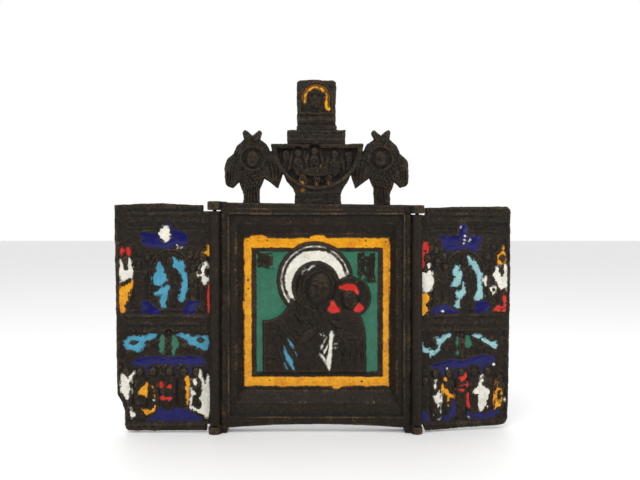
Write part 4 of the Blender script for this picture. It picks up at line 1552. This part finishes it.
class TRIPTYCH_OT_leaf(Operator):
    """Casts the deep frame of the centre leaf with its four hinge lugs"""
    bl_idname = "triptych.leaf"
    bl_label = "Centre leaf"

    def execute(self, context):
        relief = leaf_relief()
        step = context.scene.triptych_casting.leaf_step
        ob, layer = cut_sheet("leaf_frame", (-24.8, 24.6, 0.7, 59.6), step, leaf_outline)
        shape_sheet(ob, layer, 3, relief.at, flat_back(LEAF_BACK, leaf_outline, 15))
        # Under the picture the floor needs no fine mesh.
        centre = face_centres(ob)
        hidden = slab(centre[:, 0], centre[:, 1], -18.6, 18.6, 11.0, 50.2) < 0
        select_faces(ob, hidden & (centre[:, 2] > -3.4))
        edit(ob, select_all=False, faces=True)
        bpy.ops.mesh.decimate(ratio=0.02)
        done()
        for axis_x, web_x, radius, low, high in LUGS:
            lug = upright_bar(axis_x, -AXIS_DEPTH, radius, low, high)
            x0, x1 = sorted((axis_x, web_x))
            boolean(lug, brick(x0, x1, low + 0.05, high - 0.05, LEAF_BACK + 0.2, -AXIS_DEPTH), "UNION")
            boolean(ob, lug, "UNION")
        for axis_x, edge_x, high in ((LEFT_AXIS_X, LEAF_LEFT, 56.9), (RIGHT_AXIS_X, LEAF_RIGHT, 56.0)):
            # A lip behind the barrel, clear of the wing at every angle, that shuts out the light.
            side = math.copysign(1, axis_x)
            x0, x1 = sorted((edge_x - side * 0.3, axis_x - side * LIP_REACH))
            boolean(ob, brick(x0, x1, 1.5, high, *LIP_HEIGHTS, soft=0.08), "UNION")
            boolean(ob, upright_bar(axis_x, -AXIS_DEPTH, BORE_R, -1, 61, 32, soft=0), "DIFFERENCE")
        put_maps(ob, relief, 24.6)
        place(ob, LEAF_PLACE)
        finish_piece(ob, "leaf", bronze("bronze_leaf", 0.6, 0.6), ["centre_leaf"])
        return {"FINISHED"}


class TRIPTYCH_OT_picture(Operator):
    """Casts the picture of mother and child and fills its enamel"""
    bl_idname = "triptych.picture"
    bl_label = "Centre picture"

    def execute(self, context):
        relief = picture_relief()
        step = context.scene.triptych_casting.fine_step
        ob, layer = cut_sheet(
            "leaf_picture", (-19.4, 19.4, 10.2, 51.0), step, lambda x, z: slab(x, z, *PICTURE), walls=2)
        shape_sheet(ob, layer, 2, relief.at, lambda x, z: np.full(x.shape, PICTURE_BACK), thin=0.03)
        put_maps(ob, relief)
        place(ob, LEAF_PLACE)
        finish_piece(ob, "leaf", bronze("bronze_picture", 0.42, 0.35), ["centre_leaf"])
        pour_enamels(relief, "leaf", "leaf", LEAF_PLACE, ["centre_leaf"], {})
        return {"FINISHED"}


class TRIPTYCH_OT_crest(Operator):
    """Casts the crest: a bowl with a scene between two seraphs, and the tile on top"""
    bl_idname = "triptych.crest"
    bl_label = "Crest"

    def execute(self, context):
        relief = crest_relief()
        step = context.scene.triptych_casting.fine_step
        ob, layer = cut_sheet("crest", (-24.4, 24.4, 57.4, 90.9), step, crest_outline)
        shape_sheet(ob, layer, 3, relief.at, flat_back(CREST_BACK, crest_outline, 75, 0.5))
        put_maps(ob, relief)
        place(ob, LEAF_PLACE, 50)
        finish_piece(ob, "leaf", bronze("bronze_crest", 0.38, 0.25), ["centre_leaf"])
        pour_enamels(relief, "crest", "leaf", LEAF_PLACE, ["centre_leaf"], {})
        return {"FINISHED"}


def cast_wing(side, relief, place_matrix, barrel_high, materials):
    step = bpy.context.scene.triptych_casting.fine_step
    outline = OUTLINES[side]
    node = side + "_wing"
    ob, layer = cut_sheet(node + "_panel", (0.0, 26.2, 0.1, 59.2), step, outline)
    shape_sheet(ob, layer, 3, relief.at, flat_back(WING_BACK, outline, 125))
    boolean(ob, upright_bar(0, 0, BARREL_R, 2.15, barrel_high, soft=0.2), "UNION")
    boolean(ob, upright_bar(0, 0, BORE_R, -1, 61, 32, soft=0), "DIFFERENCE")
    put_maps(ob, relief)
    place(ob, place_matrix)
    finish_piece(ob, side, bronze("bronze_" + node, 0.5, 0.3), [node])
    pour_enamels(relief, node, side, place_matrix, [node], materials)


class TRIPTYCH_OT_wings(Operator):
    """Casts the two hinged wings with their barrels and fills their enamel"""
    bl_idname = "triptych.wings"
    bl_label = "Wings"

    def execute(self, context):
        mirror = Matrix.Scale(-1, 4, (1, 0, 0))
        left = (Matrix.Scale(MM, 4) @ Matrix.Translation((ORIGIN_X + LEFT_AXIS_X, ORIGIN_Y + AXIS_DEPTH, 0))
                @ mirror @ STAND_UP)
        right = (Matrix.Scale(MM, 4) @ Matrix.Translation((ORIGIN_X + RIGHT_AXIS_X, ORIGIN_Y + AXIS_DEPTH, 0))
                 @ Matrix.Rotation(RIGHT_SWING, 4, "Z") @ STAND_UP)
        cast_wing("left", left_relief(), left, 56.8, {})
        cast_wing("right", right_relief(), right, 55.9, {"light_blue": "pale_blue"})
        return {"FINISHED"}


class TRIPTYCH_OT_pins(Operator):
    """Gives the two hinge pins their worn wire finish"""
    bl_idname = "triptych.pins"
    bl_label = "Hinge pins"

    def execute(self, context):
        wire = bronze("pin_wire", 0.9, 0.8)
        for name in ("left_hinge_pin", "right_hinge_pin"):
            pin = frame["nodes"][name]
            pin.data.materials.clear()
            pin.data.materials.append(wire)
        return {"FINISHED"}


class TRIPTYCH_OT_stage(Operator):
    """Lays the pale floor and sets the soft lights and the camera"""
    bl_idname = "triptych.stage"
    bl_label = "Stage"

    def execute(self, context):
        scene = context.scene
        stage = scene.triptych_stage
        clear_selection()
        bpy.ops.mesh.primitive_plane_add(size=6, location=(0, 0, 0))
        floor = context.active_object
        floor.name = "floor"
        material, n = material_tree("pale_floor")
        where = n.add("ShaderNodeTexCoord").outputs["Object"]
        tint = n.mix(n.noise(where, 30, 3.0), (0.93, 0.93, 0.93, 1), (0.96, 0.96, 0.955, 1))
        shader = n.add("ShaderNodeBsdfPrincipled", {"Base Color": tint, "Roughness": 0.5})
        n.add("ShaderNodeOutputMaterial", {"Surface": shader.outputs[0]})
        floor.data.materials.append(material)

        world = bpy.data.worlds.new("white_room")
        scene.world = world
        world.use_nodes = True
        background = world.node_tree.nodes["Background"]
        background.inputs["Color"].default_value = (1, 1, 1, 1)
        w = Nodes(world.node_tree)
        aim = w.add("ShaderNodeSeparateXYZ", {"Vector": w.add("ShaderNodeTexCoord").outputs["Generated"]})
        front = w.span(aim.outputs["Y"], -0.9, 0.25, 0.3, 1.0)
        lift = w.span(aim.outputs["Z"], -0.1, 0.8, 0.0, 0.5)
        w.feed(background.inputs["Strength"], w.maths("MULTIPLY", w.maths("MAXIMUM", front, lift), stage.room_light))

        for name, size, power, where, turn in (
            ("key_light", 0.35, stage.key_light, (-0.12, -0.30, 0.42), (38, 0, -20)),
            ("fill_light", 0.30, stage.key_light * 0.35, (0.35, -0.25, 0.2), (65, 0, 55)),
        ):
            bpy.ops.object.light_add(type="AREA", location=where, rotation=tuple(math.radians(a) for a in turn))
            light = context.active_object
            light.name = name
            light.data.size = size
            light.data.energy = power

        bpy.ops.object.camera_add(
            location=(ORIGIN_X * MM + stage.aside, ORIGIN_Y * MM - stage.distance, stage.height),
            rotation=(math.radians(90 - 0.86), 0, 0))
        camera = context.active_object
        camera.name = "camera"
        camera.data.lens = stage.lens
        camera.data.sensor_width = 36
        camera.data.clip_start = 0.005
        scene.camera = camera
        scene.view_settings.view_transform = "Standard"
        return {"FINISHED"}


class TRIPTYCH_PT_panel(Panel):
    """Lists the settings and the pieces in the order they are made"""
    bl_label = "Travelling triptych"
    bl_idname = "TRIPTYCH_PT_panel"
    bl_space_type = "VIEW_3D"
    bl_region_type = "UI"
    bl_category = "Triptych"

    def draw(self, context):
        for settings in (context.scene.triptych_casting, context.scene.triptych_finish, context.scene.triptych_stage):
            for name in settings.__annotations__:
                self.layout.prop(settings, name)
        for operator in OPERATORS:
            self.layout.operator(operator.bl_idname)


SETTINGS = (
    ("triptych_casting", CastingSettings),
    ("triptych_finish", FinishSettings),
    ("triptych_stage", StageSettings),
)
OPERATORS = (
    TRIPTYCH_OT_leaf, TRIPTYCH_OT_picture, TRIPTYCH_OT_crest, TRIPTYCH_OT_wings, TRIPTYCH_OT_pins,
    TRIPTYCH_OT_stage,
)


def register():
    for name, settings in SETTINGS:
        bpy.utils.register_class(settings)
        setattr(bpy.types.Scene, name, PointerProperty(type=settings))
    for cls in (*OPERATORS, TRIPTYCH_PT_panel):
        bpy.utils.register_class(cls)


def unregister():
    for cls in reversed((*OPERATORS, TRIPTYCH_PT_panel)):
        bpy.utils.unregister_class(cls)
    for name, settings in reversed(SETTINGS):
        delattr(bpy.types.Scene, name)
        bpy.utils.unregister_class(settings)


def main():
    register()
    bpy.ops.triptych.leaf()
    bpy.ops.triptych.picture()
    bpy.ops.triptych.crest()
    bpy.ops.triptych.wings()
    bpy.ops.triptych.pins()
    bpy.ops.triptych.stage()
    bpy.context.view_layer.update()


if __name__ == "__main__":
    main()
